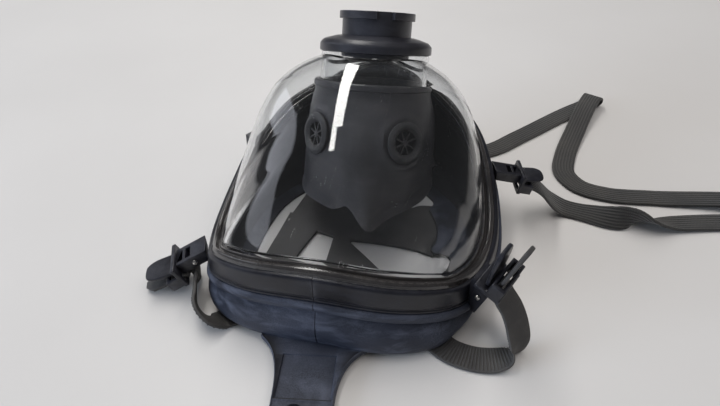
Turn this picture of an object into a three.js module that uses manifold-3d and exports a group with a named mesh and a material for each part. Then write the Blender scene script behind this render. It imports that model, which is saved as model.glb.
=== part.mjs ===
// Full-face respirator mask lying face up: clear visor, clamping frame, rubber face seal, nose cup,
// chin air inlet, buckles and straps. Millimetres, +Z up, +Y toward the chin.
import * as THREE from 'three';
import { mergeVertices } from 'three/addons/utils/BufferGeometryUtils.js';
import Module from 'manifold-3d';

const wasm = await Module();
wasm.setup();

// Driving dimensions
const GAP = 0.3;
const RUBBER = 2.5;
const GLASS = 2.4;
const AROUND = 48;
const ROUND = 38;
const SEAT = 0.5;
const FLOOR = 0.3;

// Half of the line where visor and frame meet, from forehead to chin
const FRAME_LINE = [
  { x: 0, y: -84, z: 53 },
  { x: 41, y: -80, z: 48 },
  { x: 66.5, y: -67, z: 39.5 },
  { x: 76, y: -51, z: 30 },
  { x: 84, y: -32, z: 24 },
  { x: 88.5, y: -6, z: 24.5 },
  { x: 86.5, y: 16, z: 34 },
  { x: 81, y: 36, z: 47 },
  { x: 68, y: 64, z: 60 },
  { x: 47, y: 85, z: 69 },
  { x: 25, y: 104, z: 76 },
  { x: 0, y: 113, z: 78 },
];

// Height that the visor's crown rises to along the middle of the mask
const CROWN_LINE = [
  { y: -84, z: 70 },
  { y: -60, z: 79 },
  { y: -30, z: 91 },
  { y: 0, z: 104 },
  { y: 30, z: 115 },
  { y: 60, z: 116 },
  { y: 85, z: 111 },
  { y: 108, z: 95 },
];

// The visor stands inside the frame line. Its walls lean in at the sides and stand steeper at the chin.
const VISOR = { centreY: 5, inset: 7, edge: 4, rows: 7, first: 0.1 };
const LEAN = { side: 1.5, sideEnd: -18, chin: 0.82, chinStart: 46 };

// Edge bead of the visor: out from the frame line, up from the frame
const BEAD = [
  { out: -VISOR.inset - GLASS, up: 2 * GAP },
  { out: -3.6, up: 2 * GAP },
  { out: -3.2, up: 2.2 },
  { out: -4.6, up: 3.8 },
];

// Frame section: out from the frame line, share of the band's height below it
const FRAME_SECTION = [
  { out: -9.6, down: 0 },
  { out: 1.6, down: 0 },
  { out: 2.6, down: 0.12 },
  { out: 4, down: 0.92 },
  { out: 3.4, down: 1 },
  { out: -2.4, down: 1 },
  { out: -2.4, down: 0.34 },
  { out: -9.6, down: 0.34 },
];

// Room that visor, frame and seal take at the frame, with clearance
const FRAME_ROOM = [
  { out: -3, down: 0, up: 7 },
  { out: 4.4, down: 0, up: 7 },
  { out: 4.4, down: 1 },
  { out: 6.6, down: 1 },
  { out: 6.6, down: 1, up: -11 },
  { out: -3, down: 1, up: -11 },
];

// Height of the frame band by its place along the mask
const BAND_LINE = [
  { y: -84, height: 15 },
  { y: -50, height: 12 },
  { y: -10, height: 9 },
  { y: 40, height: 10 },
  { y: 108, height: 12 },
];

// Face seal
const LEDGE = { out: 6.2, height: 7, share: 0.5, chamfer: 1.2, undercut: 0.6 };
const SKIRT = { inner: 3.4, out: 2.5, swell: 2.5, foot: 4, heel: 1.4, lipEdge: 1.6, lipRoot: 6 };
const BASE = { lip: 17, lift: 4, liftEnd: -46, liftStart: -66 };

// Half of the seal's outline on the table, row for row below the frame line
const BASE_LINE = [
  { x: 0, y: -91 },
  { x: 40, y: -90 },
  { x: 66, y: -80 },
  { x: 75, y: -66 },
  { x: 78, y: -42 },
  { x: 80, y: -12 },
  { x: 79, y: 10 },
  { x: 75, y: 30 },
  { x: 63, y: 52 },
  { x: 46, y: 70 },
  { x: 25, y: 84 },
  { x: 0, y: 90 },
];

// Forehead tab, which lies on the table in front of the seal
const TAB = {
  half: 16.5, root: 38, rootY: -90, neckY: -126, endY: -146, thick: 3, bottom: 2.9, fillet: 6, tuck: 8,
  panelHalf: 15, panelNear: -125, panelFar: -98, recess: 0.7,
  leftRoot: 30, leftRootY: -87, turn: THREE.MathUtils.degToRad(8.5), turnY: -112,
};

// Air inlet: its axis leans from +Z toward +Y
const PORT = { y: 72, z: 102.1, lean: THREE.MathUtils.degToRad(23.4) };
const NECK = { radius: 35.3, wall: 2.3, length: 26, boreDown: 60, boreUp: 30 };
const COLLAR = { radius: 36.4, rim: 7.3, height: 10.2, room: 10, foot: 0.8, edge: 1.2, lip: 1.5 };
const SPIGOT = { radius: 22.5, bore: 19.6, top: 25, sink: 3, edge: 0.6 };
const LUG = {
  radius: 24.4, height: 4.7, count: 3, gap: 25, firstGap: 24, edge: 0.8, root: 1, below: 0.01, cut: 16,
};

// Nose cup: a sleeve on the neck, and the line where it meets the face, turn by turn from the forehead.
// The soft rim lies uneven: its flap beside the nose hangs lower on the right.
const SLEEVE = { inner: NECK.radius + 0.4, outer: NECK.radius + 3, top: 18.5, bottom: 29, turn: 3 };
const CUP_LINE = [
  { turn: 0, x: 0, y: -10, z: 40 },
  { turn: 9, x: 8, y: -19, z: 36 },
  { turn: 16, x: 14, y: -28, z: 31 },
  { turn: 24, x: 18, y: -16, z: 30 },
  { turn: 34, x: 26, y: -5, z: 30 },
  { turn: 50, x: 36, y: 6, z: 29 },
  { turn: 70, x: 42, y: 21, z: 27 },
  { turn: 95, x: 44, y: 40, z: 23 },
  { turn: 120, x: 38, y: 58, z: 18 },
  { turn: 150, x: 21, y: 70, z: 14 },
  { turn: 180, x: 0, y: 74, z: 14 },
  { turn: 210, x: -21, y: 70, z: 14 },
  { turn: 240, x: -38, y: 58, z: 18 },
  { turn: 265, x: -44, y: 40, z: 23 },
  { turn: 290, x: -42, y: 22, z: 27 },
  { turn: 310, x: -35, y: 8, z: 29 },
  { turn: 326, x: -25, y: 0, z: 30 },
  { turn: 338, x: -15, y: -6, z: 31 },
  { turn: 349, x: -8, y: -11, z: 35 },
];
const CUP = {
  wall: 2, bulge: 3, bulgePower: 0.8, middle: 8, rows: 6, around: 36, stepTurn: 4, stepShare: 0.02,
};
const VALVE = {
  radius: 13.2, opening: 9.6, sleeve: 8.6, hole: 9, height: 2.4, depth: 4,
  spokes: 8, spoke: 1.3, hub: 2.4, turn: 41, along: 0.385, sides: 18, wall: 1.2, foot: 0.2,
  rim: 1.2, dish: 0.6, spokeLow: -1, spokeHigh: 0.3, hubLow: -1.1, hubHigh: 0.7, hubSides: 8,
};

// Buckles: the names' first word and side, hinge point, turn in plan and pitch in degrees, size,
// and the link's depth below or above its middle where it is deeper to reach the frame
const BUCKLES = [
  { name: 'temple', side: 'left', x: -84.5, y: -52.5, z: 24.5, turn: 205, pitch: -24, span: 1, lever: 20 },
  { name: 'temple', side: 'right', x: 84.5, y: -52.5, z: 24.5, turn: -25, pitch: 70, span: 1, high: 8 },
  { name: 'jaw', side: 'left', x: -86.5, y: 50, z: 36.5, turn: 150, pitch: -82, span: 0.85, low: 9, lever: 15 },
  { name: 'jaw', side: 'right', x: 88, y: 40, z: 40, turn: 14, pitch: -14, span: 0.85, lever: 17 },
];
const LINK = {
  start: -9.5, length: 15, half: 7, depth: 4, slot: 3.6, slotHalf: 4.2, slots: [5, 10.6], cut: 12,
};
const PLATE = {
  thick: 2.6, half: 12, top: 5.5, bottom: -10, window: 9.6, windowTop: -3, windowBottom: -7.4,
};
const LOOP = { length: 8, rail: 2.6, wall: 1.6, root: 0.1, cut: 20 };
const LEVER = {
  length: 24, thick: 2.4, root: 8.6, tip: 4.6, rise: 9, lift: 2.2, straight: 0.45, bend: 0.8, end: 0.95,
};
const RIVET = { radius: 1.8, crown: 0.7, head: 1.2, along: 4, sides: 16 };

// Straps: middle of the band, direction of its width in plan and its lift, in degrees
const STRAP = { width: 16, thick: 2, stepsLeft: 32, stepsRight: 44, stepsNeck: 104 };
const TEMPLE_LEFT = [
  { x: -118.5, y: -68.4, z: 2.6, across: 115, width: 5 },
  { x: -114, y: -66.3, z: 4.6, across: 115, width: 15 },
  { x: -107.4, y: -63.2, z: 7.6, across: 115, width: 16 },
  { x: -99.2, y: -59.3, z: 11.6, across: 115, width: 16 },
  { x: -94.8, y: -57.3, z: 13, across: 115, width: 16 },
  { x: -91.4, y: -55.9, z: 11.4, across: 115, lift: 0, width: 16 },
  { x: -89, y: -58, z: 9.2, across: 116, lift: -4, width: 16 },
  { x: -86.4, y: -63.7, z: 8.2, across: 123, lift: -27, width: 16 },
  { x: -83.5, y: -70.3, z: 8.2, across: 128, lift: -45, width: 16 },
  { x: -77.8, y: -80.4, z: 8, across: 129, lift: -45, width: 16 },
  { x: -71, y: -86, z: 7.2, across: 127, lift: -42, width: 16 },
  { x: -65.5, y: -86.8, z: 4.8, across: 122, lift: -28, width: 16 },
  { x: -60.5, y: -82.5, z: 1.4, across: 129, lift: -2, width: 16 },
  { x: -56, y: -77.5, z: 1.3, across: 138, lift: 0, width: 16 },
  { x: -52.6, y: -71.2, z: 1.3, across: 156, lift: 0, width: 16 },
  { x: -51.2, y: -63.9, z: 1.3, across: 172.5, lift: 0, width: 16 },
];
const TEMPLE_RIGHT = [
  { x: 104.6, y: -61.8, z: 70, across: 65, width: 5 },
  { x: 103, y: -61, z: 65.6, across: 65, width: 15 },
  { x: 98.2, y: -58.9, z: 51, across: 65, width: 16 },
  { x: 95.1, y: -57.5, z: 41.5, across: 65, width: 16 },
  { x: 93.9, y: -56.9, z: 37, across: 65, width: 16 },
  { x: 96, y: -57, z: 30.5, across: 60, width: 16 },
  { x: 101.5, y: -60, z: 23, across: 54, width: 16 },
  { x: 105.5, y: -65.5, z: 15.5, across: 52, width: 16 },
  { x: 106.8, y: -71, z: 9.6, across: 54, width: 16 },
  { x: 104.6, y: -75.2, z: 4.8, across: 60, width: 16 },
  { x: 98, y: -78.2, z: 2, across: 70, width: 16 },
  { x: 86, y: -80, z: 1.3, across: 82, width: 16 },
  { x: 72, y: -77.5, z: 1.3, across: 80, width: 16 },
  { x: 62, y: -71, z: 1.3, across: 62, width: 16 },
  { x: 53.5, y: -63.5, z: 1.3, across: 51.2, width: 16 },
];
const NECK_STRAP = [
  { x: 101, y: 43.2, z: 32.1, across: 104, lift: 0 },
  { x: 108, y: 45, z: 30.3, across: 104, lift: 0 },
  { x: 116, y: 48, z: 24, across: 102, lift: 0 },
  { x: 126, y: 53, z: 11, across: 94, lift: 0 },
  { x: 136, y: 56, z: 3, across: 78, lift: 0 },
  { x: 150, y: 53.5, z: 2.2, across: 68, lift: 6 },
  { x: 165, y: 48, z: 4.8, across: 72, lift: 35 },
  { x: 178, y: 46, z: 9, across: 86, lift: 90 },
  { x: 191, y: 48, z: 5, across: 100, lift: 145 },
  { x: 206, y: 53, z: 2.2, across: 104, lift: 174 },
  { x: 238, y: 61, z: 1.3, across: 104, lift: 180 },
  { x: 266, y: 65, z: 1.3, across: 96, lift: 180 },
  { x: 281, y: 69, z: 4, across: 94, lift: 180 },
  { x: 285, y: 73, z: 8.5, across: 92, lift: 180 },
  { x: 279, y: 76, z: 12, across: 92, lift: 180 },
  { x: 262, y: 79.5, z: 8, across: 94, lift: 180 },
  { x: 240, y: 82, z: 4.6, across: 96, lift: 180 },
  { x: 200, y: 80, z: 1.3, across: 92, lift: 180 },
  { x: 168, y: 78, z: 1.3, across: 82, lift: 180 },
  { x: 148, y: 84, z: 1.3, across: 50, lift: 180 },
  { x: 138, y: 99, z: 1.3, across: 16, lift: 180 },
  { x: 139, y: 120, z: 1.3, across: -8, lift: 180 },
  { x: 149, y: 160, z: 3.6, across: -15, lift: 180 },
  { x: 160, y: 196, z: 8.5, across: -20, lift: 180 },
  { x: 165, y: 208, z: 9, across: -26, lift: 180 },
  { x: 167, y: 211, z: 5.2, across: -30, lift: 180 },
  { x: 162, y: 206.5, z: 1.5, across: -34, lift: 180 },
  { x: 143, y: 188, z: 1.3, across: -46, lift: 180 },
  { x: 105, y: 145, z: 1.3, across: -44, lift: 180 },
  { x: 80, y: 119, z: 1.3, across: -50, lift: 180 },
  { x: 46, y: 107, z: 1.3, across: -76, lift: 180 },
  { x: 0, y: 105, z: 1.3, across: -90, lift: 180 },
  { x: -40, y: 99, z: 1.3, across: -69, lift: 180 },
  { x: -66, y: 80, z: 1.3, across: -47, lift: 180 },
  { x: -77, y: 69, z: 1.3, across: -42, lift: 180 },
  { x: -82.5, y: 60, z: 1.6, across: -44, lift: 180 },
  { x: -84.6, y: 53, z: 4.4, across: -88, lift: 180 },
  { x: -85.7, y: 49.8, z: 10.6, across: -120, lift: 180 },
  { x: -84.6, y: 49, z: 19.9, across: -120, lift: 180 },
];

// Head harness web on the table: arms from place to place, with their half widths at both ends
const HARNESS = { thick: 2.2, bottom: 0.3, y: 22, hub: 24, sides: 24 };
const ARMS = [
  { fromX: 0, fromY: 15, toX: -50, toY: 22, root: 22, end: 17 },
  { fromX: 0, fromY: 16, toX: 57, toY: 5, root: 20, end: 12 },
  { fromX: 0, fromY: 20, toX: 50, toY: 29, root: 15, end: 12 },
  { fromX: -39, fromY: 14, toX: -51, toY: -63, root: 14, end: 9 },
  { fromX: -10, fromY: 6, toX: -4, toY: -68, root: 6, end: 11 },
  { fromX: -8, fromY: -12, toX: 53, toY: -63, root: 8, end: 9 },
];
const STUD = { x: -3, y: -133.5, radius: 5.2, height: 3.2, shoulder: 0.5, crown: 0.6, sides: 16 };

const COLOURS = {
  glass: { color: 0xdfe4e8, roughness: 0.05, metalness: 0 },
  rubber: { color: 0x2b2d33, roughness: 0.75, metalness: 0 },
  cup: { color: 0x2e2d30, roughness: 0.7, metalness: 0 },
  plastic: { color: 0x1c1c1e, roughness: 0.5, metalness: 0 },
  webbing: { color: 0x26241f, roughness: 0.9, metalness: 0 },
  steel: { color: 0xb9bbbd, roughness: 0.3, metalness: 1 },
};

const mask = new THREE.Group();

function addMesh(name, geometry, look) {
  const mesh = new THREE.Mesh(geometry, new THREE.MeshStandardMaterial(COLOURS[look]));
  mesh.name = name;
  mask.add(mesh);
  return mesh;
}

// Closed meshes and solids

function signedVolume(geometry) {
  const position = geometry.getAttribute('position');
  const index = geometry.getIndex();
  const a = new THREE.Vector3();
  const b = new THREE.Vector3();
  const c = new THREE.Vector3();
  let volume = 0;
  for (let i = 0; i < index.count; i += 3) {
    a.fromBufferAttribute(position, index.getX(i));
    b.fromBufferAttribute(position, index.getX(i + 1));
    c.fromBufferAttribute(position, index.getX(i + 2));
    volume += a.dot(b.cross(c)) / 6;
  }
  return volume;
}

// Shared vertices merged and every face pointing out
function closedMesh(geometry) {
  geometry.deleteAttribute('normal');
  geometry.deleteAttribute('uv');
  const merged = mergeVertices(geometry, 1e-4);
  const source = merged.getIndex().array;
  const kept = [];
  for (let i = 0; i < source.length; i += 3) {
    const [a, b, c] = [source[i], source[i + 1], source[i + 2]];
    if (a !== b && b !== c && c !== a) {
      kept.push(a, b, c);
    }
  }
  merged.setIndex(kept);
  if (signedVolume(merged) < 0) {
    for (let i = 0; i < kept.length; i += 3) {
      [kept[i + 1], kept[i + 2]] = [kept[i + 2], kept[i + 1]];
    }
    merged.setIndex(kept);
  }
  return merged;
}

function solidOf(geometry) {
  const closed = closedMesh(geometry);
  const vertProperties = new Float32Array(closed.getAttribute('position').array);
  const triVerts = new Uint32Array(closed.getIndex().array);
  return new wasm.Manifold(new wasm.Mesh({ numProp: 3, vertProperties, triVerts }));
}

function geometryOf(solid) {
  const { vertProperties, triVerts } = solid.getMesh();
  const geometry = new THREE.BufferGeometry();
  geometry.setAttribute('position', new THREE.BufferAttribute(new Float32Array(vertProperties), 3));
  geometry.setIndex(Array.from(triVerts));
  return geometry;
}

// Surface through rows of points. Each row is a closed ring. The rows join into a ring themselves,
// or the first and last are closed by a fan to their middle.
function loft(rows, ringOfRows) {
  const size = rows[0].length;
  const points = rows.flat();
  const index = [];
  const last = ringOfRows ? rows.length : rows.length - 1;
  for (let i = 0; i < last; i += 1) {
    const next = (i + 1) % rows.length;
    for (let j = 0; j < size; j += 1) {
      const side = (j + 1) % size;
      const corners = [i * size + j, next * size + j, next * size + side, i * size + side];
      index.push(corners[0], corners[1], corners[2], corners[0], corners[2], corners[3]);
    }
  }
  if (!ringOfRows) {
    for (const [row, turned] of [[0, true], [rows.length - 1, false]]) {
      const middle = new THREE.Vector3();
      rows[row].forEach((point) => middle.add(point));
      points.push(middle.divideScalar(size));
      for (let j = 0; j < size; j += 1) {
        const edge = [row * size + j, row * size + ((j + 1) % size)];
        index.push(points.length - 1, ...(turned ? edge : edge.reverse()));
      }
    }
  }
  const geometry = new THREE.BufferGeometry();
  geometry.setAttribute('position', new THREE.Float32BufferAttribute(points.flatMap((p) => p.toArray()), 3));
  geometry.setIndex(index);
  return closedMesh(geometry);
}

function lathe(profile, segments) {
  const points = [...profile, profile[0]].map(([radius, height]) => new THREE.Vector2(radius, height));
  return new THREE.LatheGeometry(points, segments).rotateX(Math.PI / 2);
}

function box(x0, x1, y0, y1, z0, z1) {
  const geometry = new THREE.BoxGeometry(x1 - x0, y1 - y0, z1 - z0);
  return geometry.translate((x0 + x1) / 2, (y0 + y1) / 2, (z0 + z1) / 2);
}

// Value of a table's column at a place, by straight lines between its rows
function lookUp(table, key, column, at) {
  const after = table.findIndex((row) => row[key] >= at);
  if (after === 0) {
    return table[0][column];
  }
  if (after < 0) {
    return table[table.length - 1][column];
  }
  const [from, to] = [table[after - 1], table[after]];
  const share = (at - from[key]) / (to[key] - from[key]);
  return THREE.MathUtils.lerp(from[column], to[column], share);
}

function smoothTable(table, key, column, steps) {
  const curve = new THREE.SplineCurve(table.map((row) => new THREE.Vector2(row[key], row[column])));
  return curve.getPoints(steps).map((point) => ({ [key]: point.x, [column]: point.y }));
}

const crown = smoothTable(CROWN_LINE, 'y', 'z', 60);

// Frame line

// Closed curve through a half line and its mirror image
function wholeLine(half) {
  const other = half.slice(1, -1).reverse().map((row) => ({ ...row, x: -row.x }));
  const points = [...half, ...other].map(({ x, y, z = 0 }) => new THREE.Vector3(x, y, z));
  return new THREE.CatmullRomCurve3(points, true, 'centripetal');
}

const frameCurve = wholeLine(FRAME_LINE);
const baseCurve = wholeLine(BASE_LINE);

// Point of the frame line and its outward direction in plan
function stationAt(share) {
  const wrapped = ((share % 1) + 1) % 1;
  const place = frameCurve.getUtoTmapping(wrapped);
  const point = frameCurve.getPoint(place);
  const tangent = frameCurve.getTangent(place);
  const out = new THREE.Vector3(tangent.y, -tangent.x, 0).normalize();
  return { point, out, base: baseCurve.getPoint(place) };
}

const stations = Array.from({ length: AROUND }, (_, i) => stationAt(i / AROUND));

function offset({ point, out }, outward, height) {
  return new THREE.Vector3(point.x + out.x * outward, point.y + out.y * outward, height);
}

// Visor

function domePoint(station, angle) {
  const foot = offset(station, -VISOR.inset, station.point.z + VISOR.edge);
  const toChin = THREE.MathUtils.inverseLerp(LEAN.sideEnd, LEAN.chinStart, station.point.y);
  const lean = THREE.MathUtils.lerp(LEAN.side, LEAN.chin, THREE.MathUtils.clamp(toChin, 0, 1));
  const reach = Math.sin(angle);
  const rise = Math.max(Math.cos(angle), 0) ** lean;
  const y = VISOR.centreY + (foot.y - VISOR.centreY) * reach;
  const top = Math.max(lookUp(crown, 'y', 'z', y), foot.z);
  return new THREE.Vector3(foot.x * reach, y, foot.z + (top - foot.z) * rise);
}

function domeNormal(i, angle) {
  const step = 0.02;
  const before = stations[(i + AROUND - 1) % AROUND];
  const after = stations[(i + 1) % AROUND];
  const along = domePoint(after, angle).sub(domePoint(before, angle));
  const upper = domePoint(stations[i], Math.max(angle - step, 0.01));
  const lower = domePoint(stations[i], Math.min(angle + step, Math.PI / 2));
  return along.cross(upper.sub(lower)).normalize();
}

function portMatrix() {
  const turn = new THREE.Matrix4().makeRotationX(-PORT.lean);
  return turn.setPosition(0, PORT.y, PORT.z);
}

function cylinder(radius, low, high, segments) {
  const geometry = new THREE.CylinderGeometry(radius, radius, high - low, segments).rotateX(Math.PI / 2);
  return geometry.translate(0, 0, (low + high) / 2);
}

function buildVisor() {
  const step = (1 - VISOR.first) / VISOR.rows;
  const shares = Array.from({ length: VISOR.rows }, (_, k) => VISOR.first + step * k);
  const angles = shares.map((share) => (share * Math.PI) / 2);
  const outer = angles.map((angle) => stations.map((station) => domePoint(station, angle)));
  const inner = angles.map((angle) => stations.map((station, i) => {
    const normal = domeNormal(i, angle);
    return domePoint(station, angle).addScaledVector(normal, -GLASS);
  }));
  const bead = BEAD.map(({ out, up }) => stations.map((station) => {
    return offset(station, out, station.point.z + up);
  }));
  const shell = solidOf(loft([...inner, ...bead, ...outer.reverse()], false));
  const place = portMatrix();
  const neck = cylinder(NECK.radius, -NECK.length, -GAP, ROUND).applyMatrix4(place);
  const bore = cylinder(NECK.radius - NECK.wall, -NECK.boreDown, NECK.boreUp, ROUND).applyMatrix4(place);
  const seat = cylinder(COLLAR.radius + GAP, -GAP, COLLAR.height + COLLAR.room, ROUND).applyMatrix4(place);
  const open = shell.add(solidOf(neck)).subtract(solidOf(bore)).subtract(solidOf(seat));
  addMesh('visor', geometryOf(open), 'glass');
}

// Clamping frame

function bandAt(y) {
  return lookUp(BAND_LINE, 'y', 'height', y);
}

// Half of a ring along the frame line, from a section of outward offsets and heights
function halfRing(first, section) {
  const rows = [];
  for (let i = 0; i <= AROUND / 2; i += 1) {
    const station = stationAt(first + i / AROUND);
    const band = bandAt(station.point.y);
    const high = station.point.z;
    rows.push(section.map(({ out, down, up = 0 }) => offset(station, out, high - band * down + up)));
  }
  return rows;
}

function frameHalf(first) {
  const rows = halfRing(first, FRAME_SECTION);
  const shift = first === 0 ? GAP / 2 : -GAP / 2;
  [rows[0], rows[rows.length - 1]].forEach((row) => row.forEach((point) => { point.x += shift; }));
  const room = cylinder(SLEEVE.outer + GAP, -NECK.boreDown, NECK.boreUp, ROUND);
  const neckRoom = solidOf(room.applyMatrix4(portMatrix()));
  return geometryOf(solidOf(loft(rows, false)).subtract(neckRoom));
}

// Face seal

function liftAt(y) {
  return BASE.lift * (1 - THREE.MathUtils.smoothstep(y, BASE.liftStart, BASE.liftEnd));
}

function sealSection(station) {
  const base = { point: station.base, out: station.out };
  const lift = liftAt(base.point.y);
  const top = station.point.z - bandAt(station.point.y) - SEAT;
  const ledgeHeight = Math.min(LEDGE.height, (top - lift) * LEDGE.share);
  const wall = (share, inward) => {
    const upper = offset(station, SKIRT.out - inward, top - ledgeHeight);
    const lower = offset(base, -inward, lift + SKIRT.foot);
    const point = upper.lerp(lower, share);
    const swell = SKIRT.swell * Math.sin(Math.PI * share);
    return point.addScaledVector(station.out, swell);
  };
  return [
    offset(station, -SKIRT.inner, top),
    offset(station, LEDGE.out - LEDGE.chamfer, top),
    offset(station, LEDGE.out, top - ledgeHeight * 0.3),
    offset(station, LEDGE.out - LEDGE.undercut, top - ledgeHeight * 0.8),
    wall(0.08, 0),
    wall(0.4, 0),
    wall(0.75, 0),
    wall(1, 0),
    offset(base, -SKIRT.heel, lift),
    offset(base, -BASE.lip, lift),
    offset(base, -BASE.lip, lift + SKIRT.lipEdge),
    offset(base, -SKIRT.lipRoot, lift + RUBBER),
    wall(0.9, RUBBER),
    wall(0.5, RUBBER),
    wall(0.1, RUBBER),
    offset(station, -SKIRT.inner, top - RUBBER),
  ];
}

function tabOutline(half, near, far) {
  const shape = new THREE.Shape();
  shape.moveTo(-half, far);
  shape.lineTo(-half, near + half / 2);
  shape.quadraticCurveTo(-half, near, -half / 2, near);
  shape.lineTo(half / 2, near);
  shape.quadraticCurveTo(half, near, half, near + half / 2);
  shape.lineTo(half, far);
  return shape;
}

// The tab lies turned a little in plan
function turnedTab(geometry) {
  return geometry.translate(0, -TAB.turnY, 0).rotateZ(TAB.turn).translate(0, TAB.turnY, 0);
}

function buildSeal() {
  const skirt = solidOf(loft(stations.map(sealSection), true));
  const shape = tabOutline(TAB.half, TAB.endY, TAB.neckY);
  shape.quadraticCurveTo(TAB.half, TAB.rootY - TAB.fillet, TAB.root, TAB.rootY);
  shape.lineTo(TAB.root - TAB.tuck, TAB.rootY + TAB.tuck);
  shape.lineTo(TAB.tuck - TAB.leftRoot, TAB.rootY + TAB.tuck);
  shape.lineTo(-TAB.leftRoot, TAB.leftRootY);
  shape.quadraticCurveTo(-TAB.half, TAB.rootY - TAB.fillet, -TAB.half, TAB.neckY);
  const settings = { depth: TAB.thick, bevelEnabled: false, curveSegments: 6 };
  const plate = new THREE.ExtrudeGeometry(shape, settings).translate(0, 0, TAB.bottom);
  const top = TAB.bottom + TAB.thick;
  const panel = box(-TAB.panelHalf, TAB.panelHalf, TAB.panelNear, TAB.panelFar, top - TAB.recess, top + 1);
  const tab = solidOf(turnedTab(plate)).subtract(solidOf(turnedTab(panel)));
  addMesh('face_seal', geometryOf(skirt.add(tab)), 'rubber');
  const stud = lathe([
    [0, 0], [STUD.radius, 0], [STUD.radius, STUD.height * STUD.shoulder],
    [STUD.radius * STUD.crown, STUD.height], [0, STUD.height],
  ], STUD.sides);
  addMesh('forehead_stud', closedMesh(turnedTab(stud.translate(STUD.x, STUD.y, top + GAP))), 'plastic');
}

// Air inlet

function buildPort() {
  const rim = COLLAR.radius;
  const throat = SPIGOT.radius + GAP;
  const collar = lathe([
    [throat, 0], [rim - COLLAR.foot, 0], [rim, COLLAR.foot], [rim, COLLAR.rim - COLLAR.edge],
    [rim - COLLAR.edge, COLLAR.rim], [throat + COLLAR.lip, COLLAR.height], [throat, COLLAR.height],
  ], ROUND);
  addMesh('port_collar', closedMesh(collar.applyMatrix4(portMatrix())), 'plastic');
  const tube = solidOf(lathe([
    [SPIGOT.bore, -SPIGOT.sink], [SPIGOT.radius, -SPIGOT.sink], [SPIGOT.radius, SPIGOT.top - SPIGOT.edge],
    [SPIGOT.radius - SPIGOT.edge, SPIGOT.top], [SPIGOT.bore, SPIGOT.top],
  ], ROUND));
  const low = SPIGOT.top - LUG.height;
  const high = SPIGOT.top - LUG.below;
  const foot = SPIGOT.bore + LUG.root;
  let lugs = solidOf(lathe([
    [foot, low], [LUG.radius, low], [LUG.radius, high - LUG.edge],
    [LUG.radius - LUG.edge, high], [foot, high],
  ], ROUND));
  const gapHalf = LUG.radius * Math.sin(THREE.MathUtils.degToRad(LUG.gap / 2));
  for (let i = 0; i < LUG.count; i += 1) {
    const outer = -LUG.radius - LUG.cut;
    const gap = box(-gapHalf, gapHalf, outer, -foot - LUG.root, low - LUG.root, high + LUG.root);
    const turn = LUG.firstGap + (360 * i) / LUG.count;
    lugs = lugs.subtract(solidOf(gap.rotateZ(THREE.MathUtils.degToRad(turn))));
  }
  addMesh('port_spigot', geometryOf(tube.add(lugs)).applyMatrix4(portMatrix()), 'plastic');
}

// Nose cup

const cupPoints = CUP_LINE.map(({ x, y, z }) => new THREE.Vector3(x, y, z));
const cupCurve = new THREE.CatmullRomCurve3(cupPoints, true, 'centripetal');
const cupTurns = [...CUP_LINE.map(({ turn }) => turn), 360].map((turn, i) => {
  return { turn, share: i / CUP_LINE.length };
});

function cupRim(turn) {
  return cupCurve.getPoint(lookUp(cupTurns, 'turn', 'share', turn) % 1);
}

function sleevePoint(turn, radius, down) {
  const angle = THREE.MathUtils.degToRad(turn);
  const local = new THREE.Vector3(radius * Math.sin(angle), -radius * Math.cos(angle), -down);
  return local.applyMatrix4(portMatrix());
}

function cupPoint(turn, share) {
  const from = sleevePoint(turn, SLEEVE.outer, SLEEVE.bottom - SLEEVE.turn);
  const to = cupRim(turn);
  const swell = CUP.bulge * Math.sin(Math.PI * share ** CUP.bulgePower);
  const out = from.clone().sub(sleevePoint(0, 0, SLEEVE.bottom + CUP.middle)).normalize();
  return from.lerp(to, share).addScaledVector(out, swell);
}

function cupNormal(turn, share) {
  const after = cupPoint((turn + CUP.stepTurn) % 360, share);
  const before = cupPoint((turn + 360 - CUP.stepTurn) % 360, share);
  const lower = cupPoint(turn, Math.min(share + CUP.stepShare, 1));
  const upper = cupPoint(turn, Math.max(share - CUP.stepShare, 0));
  const along = after.sub(before);
  const down = lower.sub(upper);
  return along.cross(down).negate().normalize();
}

function valveMatrix(side) {
  const turn = side === 'right' ? VALVE.turn : 360 - VALVE.turn;
  const normal = cupNormal(turn, VALVE.along);
  const across = new THREE.Vector3(0, 0, 1).cross(normal).normalize();
  const up = normal.clone().cross(across);
  const matrix = new THREE.Matrix4().makeBasis(across, up, normal);
  return matrix.setPosition(cupPoint(turn, VALVE.along).addScaledVector(normal, GAP));
}

function buildNoseCup() {
  const turns = Array.from({ length: CUP.around }, (_, i) => (360 * i) / CUP.around);
  const shares = Array.from({ length: CUP.rows }, (_, k) => (k + 1) / CUP.rows);
  const ring = (radius, down) => turns.map((turn) => sleevePoint(turn, radius, down));
  const outside = shares.map((share) => turns.map((turn) => cupPoint(turn, share)));
  const inside = shares.map((share) => turns.map((turn) => {
    return cupPoint(turn, share).addScaledVector(cupNormal(turn, share), -CUP.wall);
  }));
  const rows = [
    ring(SLEEVE.inner, SLEEVE.top),
    ring(SLEEVE.outer, SLEEVE.top),
    ring(SLEEVE.outer, SLEEVE.bottom - SLEEVE.turn),
    ...outside,
    ...inside.reverse(),
    ring(SLEEVE.inner, SLEEVE.bottom),
  ];
  let cup = solidOf(loft(rows, true));
  for (const side of ['left', 'right']) {
    const hole = cylinder(VALVE.hole, -VALVE.hole, VALVE.hole, VALVE.sides).applyMatrix4(valveMatrix(side));
    cup = cup.subtract(solidOf(hole));
  }
  addMesh('nose_cup', geometryOf(cup), 'cup');
}

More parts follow.
